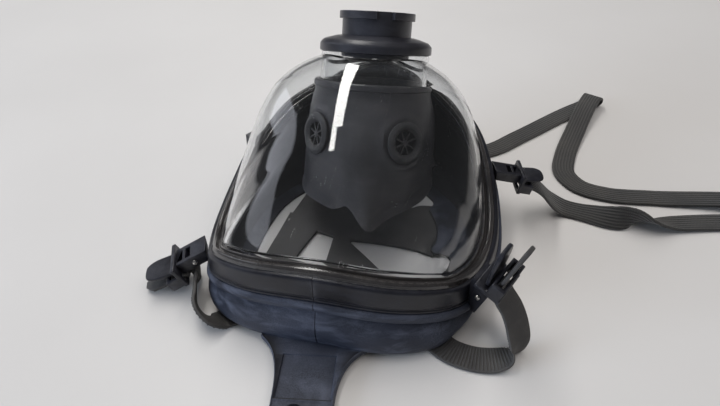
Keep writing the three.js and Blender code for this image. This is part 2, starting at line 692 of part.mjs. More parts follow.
function buildValve(side) {
  const inner = VALVE.sleeve - VALVE.wall;
  let seat = solidOf(lathe([
    [inner, -VALVE.depth], [VALVE.sleeve, -VALVE.depth], [VALVE.sleeve, VALVE.foot],
    [VALVE.radius, VALVE.foot], [VALVE.radius, VALVE.rim], [VALVE.opening + VALVE.wall, VALVE.height],
    [VALVE.opening, VALVE.height], [inner, VALVE.dish],
  ], VALVE.sides));
  for (let i = 0; i < VALVE.spokes / 2; i += 1) {
    const reach = VALVE.sleeve - VALVE.wall / 2;
    const spoke = box(-reach, reach, -VALVE.spoke / 2, VALVE.spoke / 2, VALVE.spokeLow, VALVE.spokeHigh);
    seat = seat.add(solidOf(spoke.rotateZ((2 * Math.PI * i) / VALVE.spokes)));
  }
  seat = seat.add(solidOf(cylinder(VALVE.hub, VALVE.hubLow, VALVE.hubHigh, VALVE.hubSides)));
  addMesh(`valve_${side}`, geometryOf(seat).applyMatrix4(valveMatrix(side)), 'cup');
}

// Buckles

function buckleMatrix({ side, x, y, z, turn, pitch }) {
  const heading = THREE.MathUtils.degToRad(turn);
  const rise = THREE.MathUtils.degToRad(pitch);
  const flat = new THREE.Vector3(Math.cos(heading), Math.sin(heading), 0);
  const along = flat.clone().multiplyScalar(Math.cos(rise)).setZ(Math.sin(rise));
  const up = flat.clone().multiplyScalar(-Math.sin(rise)).setZ(Math.cos(rise));
  const hinge = new THREE.Vector3(-flat.y, flat.x, 0).multiplyScalar(side === 'left' ? -1 : 1);
  return new THREE.Matrix4().makeBasis(along, hinge, up).setPosition(x, y, z);
}

function leverGeometry(length) {
  const shape = new THREE.Shape();
  shape.moveTo(0, -LEVER.root);
  shape.lineTo(length * LEVER.straight, -LEVER.root);
  shape.quadraticCurveTo(length * LEVER.bend, -LEVER.root, length * LEVER.end, -LEVER.tip);
  shape.quadraticCurveTo(length, 0, length * LEVER.end, LEVER.tip);
  shape.quadraticCurveTo(length * LEVER.bend, LEVER.root, length * LEVER.straight, LEVER.root);
  shape.lineTo(0, LEVER.root);
  const settings = { depth: LEVER.thick, bevelEnabled: false, curveSegments: 4 };
  return new THREE.ExtrudeGeometry(shape, settings).rotateY(-THREE.MathUtils.degToRad(LEVER.rise));
}

function buildBuckle(spec, frameCutter) {
  const matrix = buckleMatrix(spec).scale(new THREE.Vector3(spec.span, spec.span, spec.span));
  const label = (piece) => `${spec.name}_${piece}_${spec.side}`;
  const { low: below = LINK.depth, high: above = LINK.depth } = spec;
  let link = solidOf(box(LINK.start, LINK.length, -LINK.half, LINK.half, -below, above));
  for (const along of LINK.slots) {
    const slot = box(along, along + LINK.slot, -LINK.slotHalf, LINK.slotHalf, -LINK.cut, LINK.cut);
    link = link.subtract(solidOf(slot));
  }
  const placed = solidOf(geometryOf(link).applyMatrix4(matrix)).subtract(frameCutter);
  addMesh(label('link'), geometryOf(placed), 'plastic');

  const front = LINK.length + GAP;
  const back = front + PLATE.thick;
  const end = back + LOOP.length;
  const { half, window, windowTop, windowBottom } = PLATE;
  const plate = solidOf(box(front, back, -half, half, PLATE.bottom, PLATE.top));
  const low = windowBottom - LOOP.wall;
  const loop = solidOf(box(back - LOOP.root, end, -half, half, low, windowTop + LOOP.wall));
  const hollow = solidOf(box(back, end - LOOP.rail, -window, window, -LOOP.cut, LOOP.cut));
  const through = solidOf(box(front - LOOP.wall, end + LOOP.wall, -window, window, windowBottom, windowTop));
  const body = plate.add(loop).subtract(hollow).subtract(through);
  addMesh(label('buckle'), closedMesh(geometryOf(body).applyMatrix4(matrix)), 'plastic');

  const lever = leverGeometry(spec.lever ?? LEVER.length).translate(back + 2 * GAP, 0, PLATE.windowTop + LEVER.lift);
  addMesh(label('lever'), closedMesh(lever.applyMatrix4(matrix)), 'plastic');
  if (spec.name === 'temple') {
    const { radius, crown: share, head: high, sides } = RIVET;
    const head = lathe([[0, 0], [radius, 0], [radius * share, high], [0, high]], sides);
    head.rotateX(Math.PI / 2).translate(RIVET.along, -LINK.half - GAP, 0);
    addMesh(label('rivet'), closedMesh(head.applyMatrix4(matrix)), 'steel');
  }
}

// Straps

function strapGeometry(table, steps) {
  const points = table.map(({ x, y, z }) => new THREE.Vector3(x, y, z));
  const curve = new THREE.CatmullRomCurve3(points, false, 'centripetal');
  const rows = [];
  for (let i = 0; i <= steps; i += 1) {
    const place = (i / steps) * (table.length - 1);
    const from = table[Math.min(Math.floor(place), table.length - 2)];
    const to = table[Math.min(Math.floor(place) + 1, table.length - 1)];
    const share = place - table.indexOf(from);
    const across = THREE.MathUtils.degToRad(THREE.MathUtils.lerp(from.across, to.across, share));
    const lift = THREE.MathUtils.degToRad(THREE.MathUtils.lerp(from.lift ?? 0, to.lift ?? 0, share));
    const width = THREE.MathUtils.lerp(from.width ?? STRAP.width, to.width ?? STRAP.width, share);
    const middle = curve.getPoint(i / steps);
    const tangent = curve.getTangent(i / steps);
    const side = new THREE.Vector3(Math.cos(across), Math.sin(across), 0).multiplyScalar(Math.cos(lift));
    side.setZ(Math.sin(lift));
    side.addScaledVector(tangent, -side.dot(tangent)).normalize();
    const face = tangent.clone().cross(side).normalize();
    const row = [[-1, -1], [1, -1], [1, 1], [-1, 1]].map(([s, f]) => middle.clone()
      .addScaledVector(side, (s * width) / 2)
      .addScaledVector(face, (f * STRAP.thick) / 2));
    const sunk = FLOOR - Math.min(...row.map((corner) => corner.z));
    row.forEach((corner) => { corner.z += Math.max(sunk, 0); });
    rows.push(row);
  }
  return loft(rows, false);
}

// Head harness

function buildHarness() {
  const hub = cylinder(HARNESS.hub, 0, HARNESS.thick, HARNESS.sides);
  let web = solidOf(hub.translate(0, HARNESS.y, HARNESS.bottom));
  for (const { fromX, fromY, toX, toY, root, end } of ARMS) {
    const length = Math.hypot(toX - fromX, toY - fromY);
    const shape = new THREE.Shape();
    shape.moveTo(0, -root);
    shape.quadraticCurveTo(length / 2, -Math.min(root, end), length, -end);
    shape.lineTo(length, end);
    shape.quadraticCurveTo(length / 2, Math.min(root, end), 0, root);
    const settings = { depth: HARNESS.thick, bevelEnabled: false, curveSegments: 4 };
    const arm = new THREE.ExtrudeGeometry(shape, settings);
    arm.rotateZ(Math.atan2(toY - fromY, toX - fromX)).translate(fromX, fromY, HARNESS.bottom);
    web = web.add(solidOf(arm));
  }
  addMesh('head_harness', geometryOf(web), 'rubber');
}

buildVisor();
addMesh('frame_right', frameHalf(0), 'plastic');
addMesh('frame_left', frameHalf(0.5), 'plastic');
buildSeal();
buildPort();
buildNoseCup();
buildValve('left');
buildValve('right');
const cutters = {
  right: solidOf(loft(halfRing(0, FRAME_ROOM), false)),
  left: solidOf(loft(halfRing(0.5, FRAME_ROOM), false)),
};
for (const spec of BUCKLES) {
  buildBuckle(spec, cutters[spec.side]);
}
addMesh('temple_strap_left', strapGeometry(TEMPLE_LEFT, STRAP.stepsLeft), 'rubber');
addMesh('temple_strap_right', strapGeometry(TEMPLE_RIGHT, STRAP.stepsRight), 'rubber');
addMesh('neck_strap', strapGeometry(NECK_STRAP, STRAP.stepsNeck), 'webbing');
buildHarness();

// The part's origin is the middle of its box, on the surface that it lies on
const part = new THREE.Group();
const extent = new THREE.Box3().setFromObject(mask);
const centre = extent.getCenter(new THREE.Vector3());
mask.position.set(-centre.x, -centre.y, -extent.min.z);
part.add(mask);

export default part;
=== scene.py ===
"""Looks of a full-face respirator mask that lies face up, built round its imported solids."""

import math
from collections import Counter

import bmesh
import bpy
import numpy as np
from mathutils import Matrix, Vector


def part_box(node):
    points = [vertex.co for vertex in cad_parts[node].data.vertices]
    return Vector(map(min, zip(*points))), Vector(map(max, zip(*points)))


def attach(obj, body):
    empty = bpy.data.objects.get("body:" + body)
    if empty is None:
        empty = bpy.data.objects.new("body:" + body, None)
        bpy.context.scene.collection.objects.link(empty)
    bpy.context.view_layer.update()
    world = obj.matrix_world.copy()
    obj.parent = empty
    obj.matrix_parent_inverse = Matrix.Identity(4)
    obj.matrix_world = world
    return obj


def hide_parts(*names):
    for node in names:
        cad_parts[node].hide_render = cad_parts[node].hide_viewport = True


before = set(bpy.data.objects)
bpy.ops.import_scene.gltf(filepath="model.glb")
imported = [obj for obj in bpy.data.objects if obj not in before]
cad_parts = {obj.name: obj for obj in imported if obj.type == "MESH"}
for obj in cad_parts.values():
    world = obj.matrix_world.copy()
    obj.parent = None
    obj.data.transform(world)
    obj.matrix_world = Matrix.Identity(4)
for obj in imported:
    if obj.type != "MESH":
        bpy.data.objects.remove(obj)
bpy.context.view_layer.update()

# Sizes are in millimetres in the mask's own frame: its middle plane is x = 0 and +y runs to the chin.
MM = 0.001
VISOR_FRONT = 80.8
visor_low, visor_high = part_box("visor")
MASK_PLACE = np.array([(visor_low.x + visor_high.x) / 2, visor_low.y + VISOR_FRONT * MM, 0.0])

# Points nearer than this are one point, in metres
SAME_POINT = 2e-6
# Radius that stands for the axis of a turned shape
AXIS = 0.01
# Room between pieces, walls of visor and seal, room between frame and seal, lowest place of a strap
GAP = 0.3
GLASS = 2.4
RUBBER = 2.5
SEAT = 0.5
FLOOR = 0.3

# Half of the line where visor and frame meet: x, y, z
FRAME_LINE = [
    (0, -84, 53), (41, -80, 48), (66.5, -67, 39.5), (76, -51, 30), (84, -32, 24), (88.5, -6, 24.5),
    (86.5, 16, 34), (81, 36, 47), (68, 64, 60), (47, 85, 69), (25, 104, 76), (0, 113, 78),
]
# Half of the seal's outline on the table: x, y
BASE_LINE = [
    (0, -91), (40, -90), (66, -80), (75, -66), (78, -42), (80, -12),
    (79, 10), (75, 30), (63, 52), (46, 70), (25, 84), (0, 90),
]
# Height of the visor's crown: y, z
CROWN_LINE = [(-84, 70), (-60, 79), (-30, 91), (0, 104), (30, 115), (60, 116), (85, 111), (108, 95)]
# Height of the frame band: y, height
BAND_LINE = [(-84, 15), (-50, 12), (-10, 9), (40, 10), (108, 12)]

# The visor stands inside the frame line. Its walls lean in at the sides and stand steeper at the chin.
VISOR = {"middle_y": 5, "inset": 7, "edge": 4, "stations": 240, "crease": 40}
# Round its crown the visor follows one fitted surface, which runs out between these shares of its reach
CROWN = {"scale": 80, "fitted": 0.2, "free": 0.7}
# Rows of the visor's faces: angles from the crown, closer together where it bends down to its foot
VISOR_ANGLES = np.radians([*np.linspace(1.2, 68, 44), *np.linspace(70, 84, 11), *np.linspace(84.8, 90, 9)])
# Foot of the visor behind the bead: outward from the frame line, height above it
VISOR_FOOT = [(-7, 3.2), (-7, 1.2), (-7.4, 0.6), (-9.4, 0.6)]
LEAN = {"side": 1.5, "side_end": -18, "chin": 0.82, "chin_start": 46}
PORT = {"y": 72, "z": 102.1, "lean": math.radians(23.4)}
PORT_SIDES = 128
PORT_CUT = (-60, 30)
NECK = {"radius": 35.3, "wall": 2.3, "length": 26, "sunk": 2}
COLLAR = {"radius": 36.4, "rim": 7.3, "height": 10.2, "room": 25}
SPIGOT = {"radius": 22.5, "bore": 19.6, "top": 25, "sink": 3}
LUG = {"radius": 24.4, "height": 4.7, "count": 3, "gap": 25, "first": 24}
SLEEVE = {"inner": 35.7, "outer": 38.3, "top": 18.5, "bottom": 29, "turn": 3}
# Line where the nose cup meets the face, its flap lower on the right: turn in degrees, x, y, z
CUP_LINE = [
    (0, 0, -10, 40), (9, 8, -19, 36), (16, 14, -28, 31), (24, 18, -16, 30), (34, 26, -5, 30), (50, 36, 6, 29),
    (70, 42, 21, 27), (95, 44, 40, 23), (120, 38, 58, 18), (150, 21, 70, 14), (180, 0, 74, 14),
    (210, -21, 70, 14), (240, -38, 58, 18), (265, -44, 40, 23), (290, -42, 22, 27), (310, -35, 8, 29),
    (326, -25, 0, 30), (338, -15, -6, 31), (349, -8, -11, 35),
]
CUP = {"wall": 2, "bulge": 3, "power": 0.8, "middle": 8}
# The cup's rim is followed closely only near its edge: softness in degrees on the body and at the edge
CUP_SOFTNESS = {"body": 15, "edge": 4, "start": 0.55}
CUP_TURN_STEP = 2.5
CUP_ROWS = np.linspace(0.04, 1, 34)
# On the cup: a ridge over the nose, a round boss with a flat seat for each valve, and a thicker edge
RIDGE = {"height": 2.4, "turn": 12, "start": 0.15, "full": 0.6, "hollow": 0.6}
BOSS = {"height": 1.0, "seat": (13.0, 14.5), "edge": (16.0, 18.0)}
CUP_EDGE = {"height": 0.9, "start": 0.93, "full": 0.98}
VALVE = {
    "radius": 13.2, "opening": 9.6, "sleeve": 8.6, "hole": 9, "height": 2.4, "depth": 4, "wall": 1.2,
    "turn": 41, "along": 0.385, "drill": 9,
}
# Half of the valve's round flap and of its hub: radius, height
VALVE_FLAP = [(AXIS, -3.6), (7.1, -3.6), (7.1, -3.1), (AXIS, -2.9)]
VALVE_HUB = [(AXIS, -1.2), (1.9, -1.2), (1.9, 0.4), (1.3, 0.8), (AXIS, 0.9)]
# Spokes over a valve's opening: how many, and their sizes in metres
SPOKE = {"Count": 8, "Start": 0.0015, "Reach": 0.0081, "Width": 0.0009, "Height": 0.0014, "Drop": -0.0004}
# Section of the frame: outward from the frame line, share of the band's depth
FRAME_SECTION = [
    (-9.6, 0), (1.6, 0), (2.6, 0.1), (3.5, 0.62), (3.75, 0.78), (3.3, 0.82), (3.35, 0.87), (4.1, 0.9),
    (4.0, 1), (-2.4, 1), (-2.4, 0.34), (-9.6, 0.34),
]
# Section of the bead: outward from the frame line, height above it
BEAD_SECTION = [
    (-6.7, 0.05), (-6.7, 2.4), (-6.2, 2.9), (-5.6, 2.4), (-5.1, 1.2), (-4.5, 1.1), (-4.0, 2.1), (-3.1, 3.0),
    (-1.9, 3.1), (-0.8, 2.3), (-0.2, 0.9), (0.2, 0.05),
]
FRAME = {"stations": 150, "rounding": 0.7}
BEAD = {"stations": 300, "rounding": 0.8}
LEDGE = {"out": 6.2, "height": 7}
# Wall of the seal: outward of the frame line at its top, height of its foot, and how far it swells between
WALL = {"top": 2.5, "foot": 4, "swell": 2.5, "inner": -3.4}
# Inner flap of the seal: reach, rise, and where it starts and ends
FLAP = {"reach": 10, "rise": 3, "thick": 2.6, "root": 1.5, "start": (-9, -2), "end": (44, 60)}
# Slump of the rubber wall: depth, waves round the seal, turn of the first wave
SLUMP = [(0.5, 7, 0.6), (0.35, 13, 2.1), (0.25, 23, 4.0)]
SLUMP_SHARE = 0.55
SLUMP_TOP = 0.72
# Seam at the middle of the forehead: its depth, and where its groove starts and ends beside it
SEAM = {"depth": 0.4, "flat": 0.2, "edge": 0.5}
SEAM_STEPS = (0.15, 0.3, 0.45, 0.7, 1.2)
# Points of the seal's section on its outer face, which have the seam
SEAM_ROWS = slice(3, 44)
SEAL = {"stations": 200, "rounding": 1.1}
BASE = {"lip": 17, "lift": 4, "lift_end": -46, "lift_start": -66}
TAB = {
    "half": 16.5, "root": 38, "root_y": -90, "neck_y": -126, "end_y": -146, "thick": 3, "bottom": 2.9,
    "fillet": 6, "panel_half": 15, "panel_near": -125, "panel_far": -98, "recess": 0.7,
    "left_root": 30, "left_root_y": -87, "turn": math.radians(8.5), "turn_y": -112, "corner": 9.0,
    "roll": 0.5, "rolled": 0.955, "roll_width": 0.03, "edge_drop": 1.5, "end_drop": 1.6, "end_length": 2.4,
    "outline": 0.25, "outline_in": 0.7, "outline_width": 0.35, "step": 0.5,
}
STUD = {"x": -3, "y": -133.5, "radius": 5.2, "height": 3.2}
STRAP = {"width": 16, "thick": 2, "softness": 4.5}
# Ribs on a head strap, with the bar's own sizes in metres
RIB_PITCH = 1.7
RIB_SUNK = 0.1
RIB_END = 0.98
RIB = {"Radius": 0.00055, "Length": 0.0146}

# Straps: x, y, z, direction of the width in plan and its lift in degrees, and the width where it changes
TEMPLE_LEFT = [
    (-118.5, -68.4, 2.6, 115, 0, 5), (-114, -66.3, 4.6, 115, 0, 15), (-107.4, -63.2, 7.6, 115, 0, 16),
    (-99.2, -59.3, 11.6, 115, 0, 16), (-94.8, -57.3, 13, 115, 0, 16), (-91.4, -55.9, 11.4, 115, 0, 16),
    (-89, -58, 9.2, 116, -4, 16), (-86.4, -63.7, 8.2, 123, -27, 16), (-83.5, -70.3, 8.2, 128, -45, 16),
    (-77.8, -80.4, 8, 129, -45, 16), (-71, -86, 7.2, 127, -42, 16), (-65.5, -86.8, 4.8, 122, -28, 16),
    (-60.5, -82.5, 1.4, 129, -2, 16), (-56, -77.5, 1.3, 138, 0, 16), (-52.6, -71.2, 1.3, 156, 0, 16),
    (-51.2, -63.9, 1.3, 172.5, 0, 16),
]
TEMPLE_RIGHT = [
    (104.6, -61.8, 70, 65, 0, 5), (103, -61, 65.6, 65, 0, 15), (98.2, -58.9, 51, 65, 0, 16),
    (95.1, -57.5, 41.5, 65, 0, 16), (93.9, -56.9, 37, 65, 0, 16), (96, -57, 30.5, 60, 0, 16),
    (101.5, -60, 23, 54, 0, 16), (105.5, -65.5, 15.5, 52, 0, 16), (106.8, -71, 9.6, 54, 0, 16),
    (104.6, -75.2, 4.8, 60, 0, 16), (98, -78.2, 2, 70, 0, 16), (86, -80, 1.3, 82, 0, 16),
    (72, -77.5, 1.3, 80, 0, 16), (62, -71, 1.3, 62, 0, 16), (53.5, -63.5, 1.3, 51.2, 0, 16),
]
NECK_STRAP = [
    (101, 43.2, 32.1, 104, 0), (108, 45, 30.3, 104, 0), (116, 48, 24, 102, 0), (126, 53, 11, 94, 0),
    (136, 56, 3, 78, 0), (150, 53.5, 2.2, 68, 6), (165, 48, 4.8, 72, 35), (178, 46, 9, 86, 90),
    (191, 48, 5, 100, 145), (206, 53, 2.2, 104, 174), (238, 61, 1.3, 104, 180), (266, 65, 1.3, 96, 180),
    (281, 69, 4, 94, 180), (285, 73, 8.5, 92, 180), (279, 76, 12, 92, 180), (262, 79.5, 8, 94, 180),
    (240, 82, 4.6, 96, 180), (200, 80, 1.3, 92, 180), (168, 78, 1.3, 82, 180), (148, 84, 1.3, 50, 180),
    (138, 99, 1.3, 16, 180), (139, 120, 1.3, -8, 180), (149, 160, 3.6, -15, 180), (160, 196, 8.5, -20, 180),
    (165, 208, 9, -26, 180), (167, 211, 5.2, -30, 180), (162, 206.5, 1.5, -34, 180),
    (143, 188, 1.3, -46, 180), (105, 145, 1.3, -44, 180), (80, 119, 1.3, -50, 180), (46, 107, 1.3, -76, 180),
    (0, 105, 1.3, -90, 180), (-40, 99, 1.3, -69, 180), (-66, 80, 1.3, -47, 180), (-77, 69, 1.3, -42, 180),
    (-82.5, 60, 1.6, -44, 180), (-84.6, 53, 4.4, -88, 180), (-85.7, 49.8, 10.6, -120, 180),
    (-84.6, 49, 19.9, -120, 180),
]

# Camera of the photograph: focal length in pixels, place in the mask's frame, turns in radians
CAMERA = {
    "focal": 559.722, "width": 720, "place": (76.363, -264.633, 262.765),
    "yaw": 0.268, "pitch": 0.697, "roll": -0.054,
}
# Half of the table's side, in metres
TABLE_HALF = 12.0
# Ceiling tubes: place in the mask's frame in millimetres, length in metres
TUBES = [(-632, 1085, 2.83), (-532, 1250, 2.5)]
TUBE_HEIGHT = 1500


# Curves and tables

def curve_at(points, shares, closed):
    """Places on a centripetal curve through points, at shares of the way through its list."""
    points = np.asarray(points, float)
    count = len(points)
    place = np.asarray(shares, float) * (count if closed else count - 1)
    start = np.floor(place).astype(int)
    if closed:
        weight = place - start
        corners = [points[(start + step) % count] for step in (-1, 0, 1, 2)]
    else:
        start = np.clip(start, 0, count - 2)
        weight = place - start
        padded = np.vstack([2 * points[0] - points[1], points, 2 * points[-1] - points[-2]])
        corners = [padded[start + step] for step in (0, 1, 2, 3)]
    spans = [np.sqrt(np.linalg.norm(b - a, axis=1))[:, None] for a, b in zip(corners, corners[1:])]
    before, here, after = [np.maximum(span, 1e-4) for span in spans]
    p0, p1, p2, p3 = corners
    leave = ((p1 - p0) / before - (p2 - p0) / (before + here) + (p2 - p1) / here) * here
    reach = ((p2 - p1) / here - (p3 - p1) / (here + after) + (p3 - p2) / after) * here
    w = weight[:, None]
    bend = 3 * (p2 - p1) - 2 * leave - reach
    twist = 2 * (p1 - p2) + leave + reach
    return p1 + leave * w + bend * w**2 + twist * w**3


def mirrored(half):
    """A closed line from its right half, from forehead to chin and back."""
    left = [(-row[0], *row[1:]) for row in half[-2:0:-1]]
    return [*half, *left]


def smooth_step(value, low, high):
    share = np.clip((value - low) / (high - low), 0, 1)
    return share * share * (3 - 2 * share)


def evened(half, shares, softness):
    """A closed line sampled at shares of its list, with bends shorter than the softness smoothed away."""
    points = curve_at(mirrored(half), shares, True)
    length = np.linalg.norm(np.diff(points, axis=0, append=points[:1]), axis=1).sum()
    waves = np.fft.rfft(points, axis=0)
    damping = np.exp(-0.5 * (2 * math.pi * np.arange(len(waves)) * softness / length) ** 2)
    return np.fft.irfft(waves * damping[:, None], n=len(points), axis=0)


# Frame line and base line, evenly spaced along the frame line, and the outward directions in plan
LOOP_COUNT = 2400
LOOP_SOFTNESS = 6.0
LOOP_STARTS = np.linspace(0, 1, 4001)
LOOP_STEPS = np.linalg.norm(np.diff(curve_at(mirrored(FRAME_LINE), LOOP_STARTS, True), axis=0), axis=1)
LOOP_LENGTHS = np.concatenate([[0], np.cumsum(LOOP_STEPS)])
LOOP_SHARES = np.interp(np.arange(LOOP_COUNT) / LOOP_COUNT, LOOP_LENGTHS / LOOP_LENGTHS[-1], LOOP_STARTS)
FRAME_LOOP = evened(FRAME_LINE, LOOP_SHARES, LOOP_SOFTNESS)
BASE_LOOP = evened(BASE_LINE, LOOP_SHARES, LOOP_SOFTNESS)
LOOP_ALONG = np.roll(FRAME_LOOP, -1, axis=0) - np.roll(FRAME_LOOP, 1, axis=0)
LOOP_OUT = np.stack([LOOP_ALONG[:, 1], -LOOP_ALONG[:, 0]], axis=1)
CROWN_FIT = np.polyfit(*np.transpose(CROWN_LINE), 5)


def crown_at(y):
    return np.polyval(CROWN_FIT, y)


def band_at(y):
    ys, heights = zip(*BAND_LINE)
    return np.interp(y, ys, heights)


def looked_up(places, numbers, table, period=None):
    """Rows of a table at places between its own numbers."""
    return np.column_stack([np.interp(places, numbers, column, period=period) for column in table.T])


def stations_at(shares):
    """Points of the frame line, their outward directions in plan and points of the base line."""
    grid = np.arange(LOOP_COUNT) / LOOP_COUNT
    point, out, base = [looked_up(shares, grid, table, 1) for table in (FRAME_LOOP, LOOP_OUT, BASE_LOOP)]
    return point, out / np.linalg.norm(out, axis=1)[:, None], base


def beside(point, out, outward, height):
    """Points set outward in plan from a line, at a height."""
    plan = point[:, :2] + out * np.broadcast_to(outward, len(point))[:, None]
    return np.column_stack([plan, np.broadcast_to(height, len(point))])


def at_port(points):
    """Points given along the inlet's axis, in the mask's frame."""
    x, y, z = np.moveaxis(np.asarray(points, float), -1, 0)
    cosine, sine = math.cos(PORT["lean"]), math.sin(PORT["lean"])
    return np.stack([x, y * cosine + z * sine + PORT["y"], z * cosine - y * sine + PORT["z"]], axis=-1)


def softened(corners, radius, steps=3):
    """A closed section with its corners rounded. The section's points are in the second axis."""
    corners = np.asarray(corners, float)
    before = np.roll(corners, 1, axis=1) - corners
    after = np.roll(corners, -1, axis=1) - corners
    far_before = np.linalg.norm(before, axis=2, keepdims=True)
    far_after = np.linalg.norm(after, axis=2, keepdims=True)
    cut_before = np.minimum(radius, 0.45 * far_before)
    cut_after = np.minimum(radius, 0.45 * far_after)
    first = corners + before / np.maximum(far_before, 1e-6) * cut_before
    last = corners + after / np.maximum(far_after, 1e-6) * cut_after
    arcs = []
    for share in np.linspace(0, 1, steps):
        arcs.append(first * (1 - share) ** 2 + 2 * corners * share * (1 - share) + last * share**2)
    rounded = np.stack(arcs, axis=2)
    return rounded.reshape(corners.shape[0], -1, 3)


# Meshes

def skin(rows, rows_close=False, ends=False):
    """Points and faces of a tube of closed rows. The rows close into a ring, or the end rows get a cap."""
    rows = np.asarray(rows, float)
    count, size = rows.shape[:2]
    number = np.arange(count * size).reshape(count, size)
    near = number if rows_close else number[:-1]
    far = np.roll(number, -1, axis=0) if rows_close else number[1:]
    sides = [near, np.roll(near, -1, axis=1), np.roll(far, -1, axis=1), far]
    faces = np.stack(sides, axis=-1).reshape(-1, 4).tolist()
    if ends:
        faces.append(number[0, ::-1].tolist())
        faces.append(number[-1].tolist())
    return rows.reshape(-1, 3), faces


def turned(profile, sides):
    """Points and faces of a closed profile of (radius, height) turned about z."""
    radius, height = np.asarray(profile, float).T
    angles = np.linspace(0, 2 * math.pi, sides, endpoint=False)
    rows = [np.column_stack([radius * math.cos(a), radius * math.sin(a), height]) for a in angles]
    return skin(rows, rows_close=True)


def rod(radius, low, high, sides):
    """Points and faces of a round bar along z."""
    angles = np.linspace(0, 2 * math.pi, sides, endpoint=False)
    rows = [[(radius * math.cos(a), radius * math.sin(a), z) for a in angles] for z in (low, high)]
    return skin(rows, ends=True)


def rounded_profile(corners, radius, steps=4):
    flat = np.array([[(x, 0, z) for x, z in corners]], float)
    return softened(flat, radius, steps)[0][:, [0, 2]]


def placed(name, data):
    """A new object in the scene, at the origin."""
    made = bpy.data.objects.new(name, data)
    bpy.context.scene.collection.objects.link(made)
    return made


def mesh_points(mesh):
    points = np.empty(len(mesh.vertices) * 3, np.float32)
    mesh.vertices.foreach_get("co", points)
    return points.reshape(-1, 3)


def mesh_normals(mesh):
    normals = np.empty(len(mesh.vertices) * 3, np.float32)
    mesh.vertex_normals.foreach_get("vector", normals)
    return normals.reshape(-1, 3)


def write_marks(mesh, name, marks):
    attribute = mesh.attributes.new(name, "FLOAT", "POINT")
    attribute.data.foreach_set("value", marks.astype(np.float32))


def cleaned(mesh, split=False):
    """Merges points that coincide and takes out faces that have no size or lie back to back."""
    shape = bmesh.new()
    shape.from_mesh(mesh)
    bmesh.ops.remove_doubles(shape, verts=shape.verts, dist=SAME_POINT)
    if split:
        bmesh.ops.triangulate(shape, faces=[face for face in shape.faces if len(face.verts) > 4])
    bmesh.ops.dissolve_degenerate(shape, dist=SAME_POINT, edges=shape.edges)
    corners = Counter(frozenset(face.verts) for face in shape.faces)
    doubled = [face for face in shape.faces if corners[frozenset(face.verts)] > 1]
    bmesh.ops.delete(shape, geom=doubled, context="FACES")
    shape.to_mesh(mesh)
    shape.free()


def piece_from(name, points, faces, material, crease=35, clean=True):
    """A new piece from points in the mask's frame, with its faces turned outwards."""
    mesh = bpy.data.meshes.new(name)
    mesh.from_pydata((np.asarray(points) * MM + MASK_PLACE).tolist(), [], faces)
    if clean:
        cleaned(mesh)
    if signed_volume(mesh) < 0:
        mesh.flip_normals()
    mesh.materials.append(material)
    mesh.shade_smooth()
    mesh.set_sharp_from_angle(angle=math.radians(crease))
    return placed(name, mesh)


def signed_volume(mesh):
    mesh.calc_loop_triangles()
    corners = np.empty(len(mesh.loop_triangles) * 3, np.int32)
    mesh.loop_triangles.foreach_get("vertices", corners)
    points = mesh_points(mesh).astype(float)
    a, b, c = points[corners.reshape(-1, 3)].transpose(1, 0, 2)
    middle = points.mean(axis=0)
    return np.einsum("ij,ij->i", a - middle, np.cross(b - middle, c - middle)).sum() / 6


def settled(piece, crease=35):
    """The piece with its modifiers worked into its mesh."""
    graph = bpy.context.evaluated_depsgraph_get()
    mesh = bpy.data.meshes.new_from_object(piece.evaluated_get(graph))
    piece.modifiers.clear()
    old = piece.data
    piece.data = mesh
    bpy.data.meshes.remove(old)
    mesh.name = piece.name
    cleaned(mesh, True)
    mesh.shade_smooth()
    mesh.set_sharp_from_angle(angle=math.radians(crease))
    return piece


def joined(piece, other, operation, crease=35):
    """The piece united with another solid, or with that solid cut out of it."""
    change = piece.modifiers.new(operation.lower(), "BOOLEAN")
    change.object = other
    change.operation = operation
    change.solver = "MANIFOLD"
    settled(piece, crease)
    mesh = other.data
    bpy.data.objects.remove(other)
    bpy.data.meshes.remove(mesh)
    return piece


def rub_and_highlight_marks(piece):
    """Writes how much each point of a piece stands out, as the attribute for edges rubbed pale and for the
    bead's painted highlights.
    """
    mesh = piece.data
    points = mesh_points(mesh)
    normals = mesh_normals(mesh)
    edges = np.empty(len(mesh.edges) * 2, np.int32)
    mesh.edges.foreach_get("vertices", edges)
    edges = edges.reshape(-1, 2)
    span = points[edges[:, 1]] - points[edges[:, 0]]
    length = np.maximum(np.linalg.norm(span, axis=1), 1e-7)
    bend = np.einsum("ij,ij->i", normals[edges[:, 1]] - normals[edges[:, 0]], span) / length
    total = np.zeros(len(points))
    number = np.zeros(len(points))
    for end in (0, 1):
        np.add.at(total, edges[:, end], bend)
        np.add.at(number, edges[:, end], 1)
    write_marks(mesh, "rub_and_highlight", np.clip(total / np.maximum(number, 1), 0, 1))


def painted_inner_shade_marks(piece):
    """Writes which points of the seal face its hollow, as the attribute for the painted shade on its inner
    face.
    """
    outward = mesh_points(piece.data)[:, :2] - MASK_PLACE[:2]
    outward /= np.maximum(np.linalg.norm(outward, axis=1), 1e-6)[:, None]
    facing = np.einsum("ij,ij->i", outward, mesh_normals(piece.data)[:, :2])
    write_marks(piece.data, "inside", smooth_step(-facing, 0.0, 0.25))


def dress(piece, slot, *nodes):
    """The piece rides on the part's one body and stands for these nodes. Its slot is not used."""
    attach(piece, "root")
    if nodes:
        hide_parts(*nodes)
    return piece


def finished(piece, slot, *nodes):
    """The piece dressed, with the marks for where it stands out, which give edges rubbed pale and the bead's
    painted highlights.
    """
    rub_and_highlight_marks(piece)
    return dress(piece, slot, *nodes)


# Shader node groups

def give(tree, socket, value):
    """Links a socket to another one, or sets its own value."""
    if isinstance(value, bpy.types.NodeSocket):
        tree.links.new(value, socket)
    else:
        socket.default_value = value


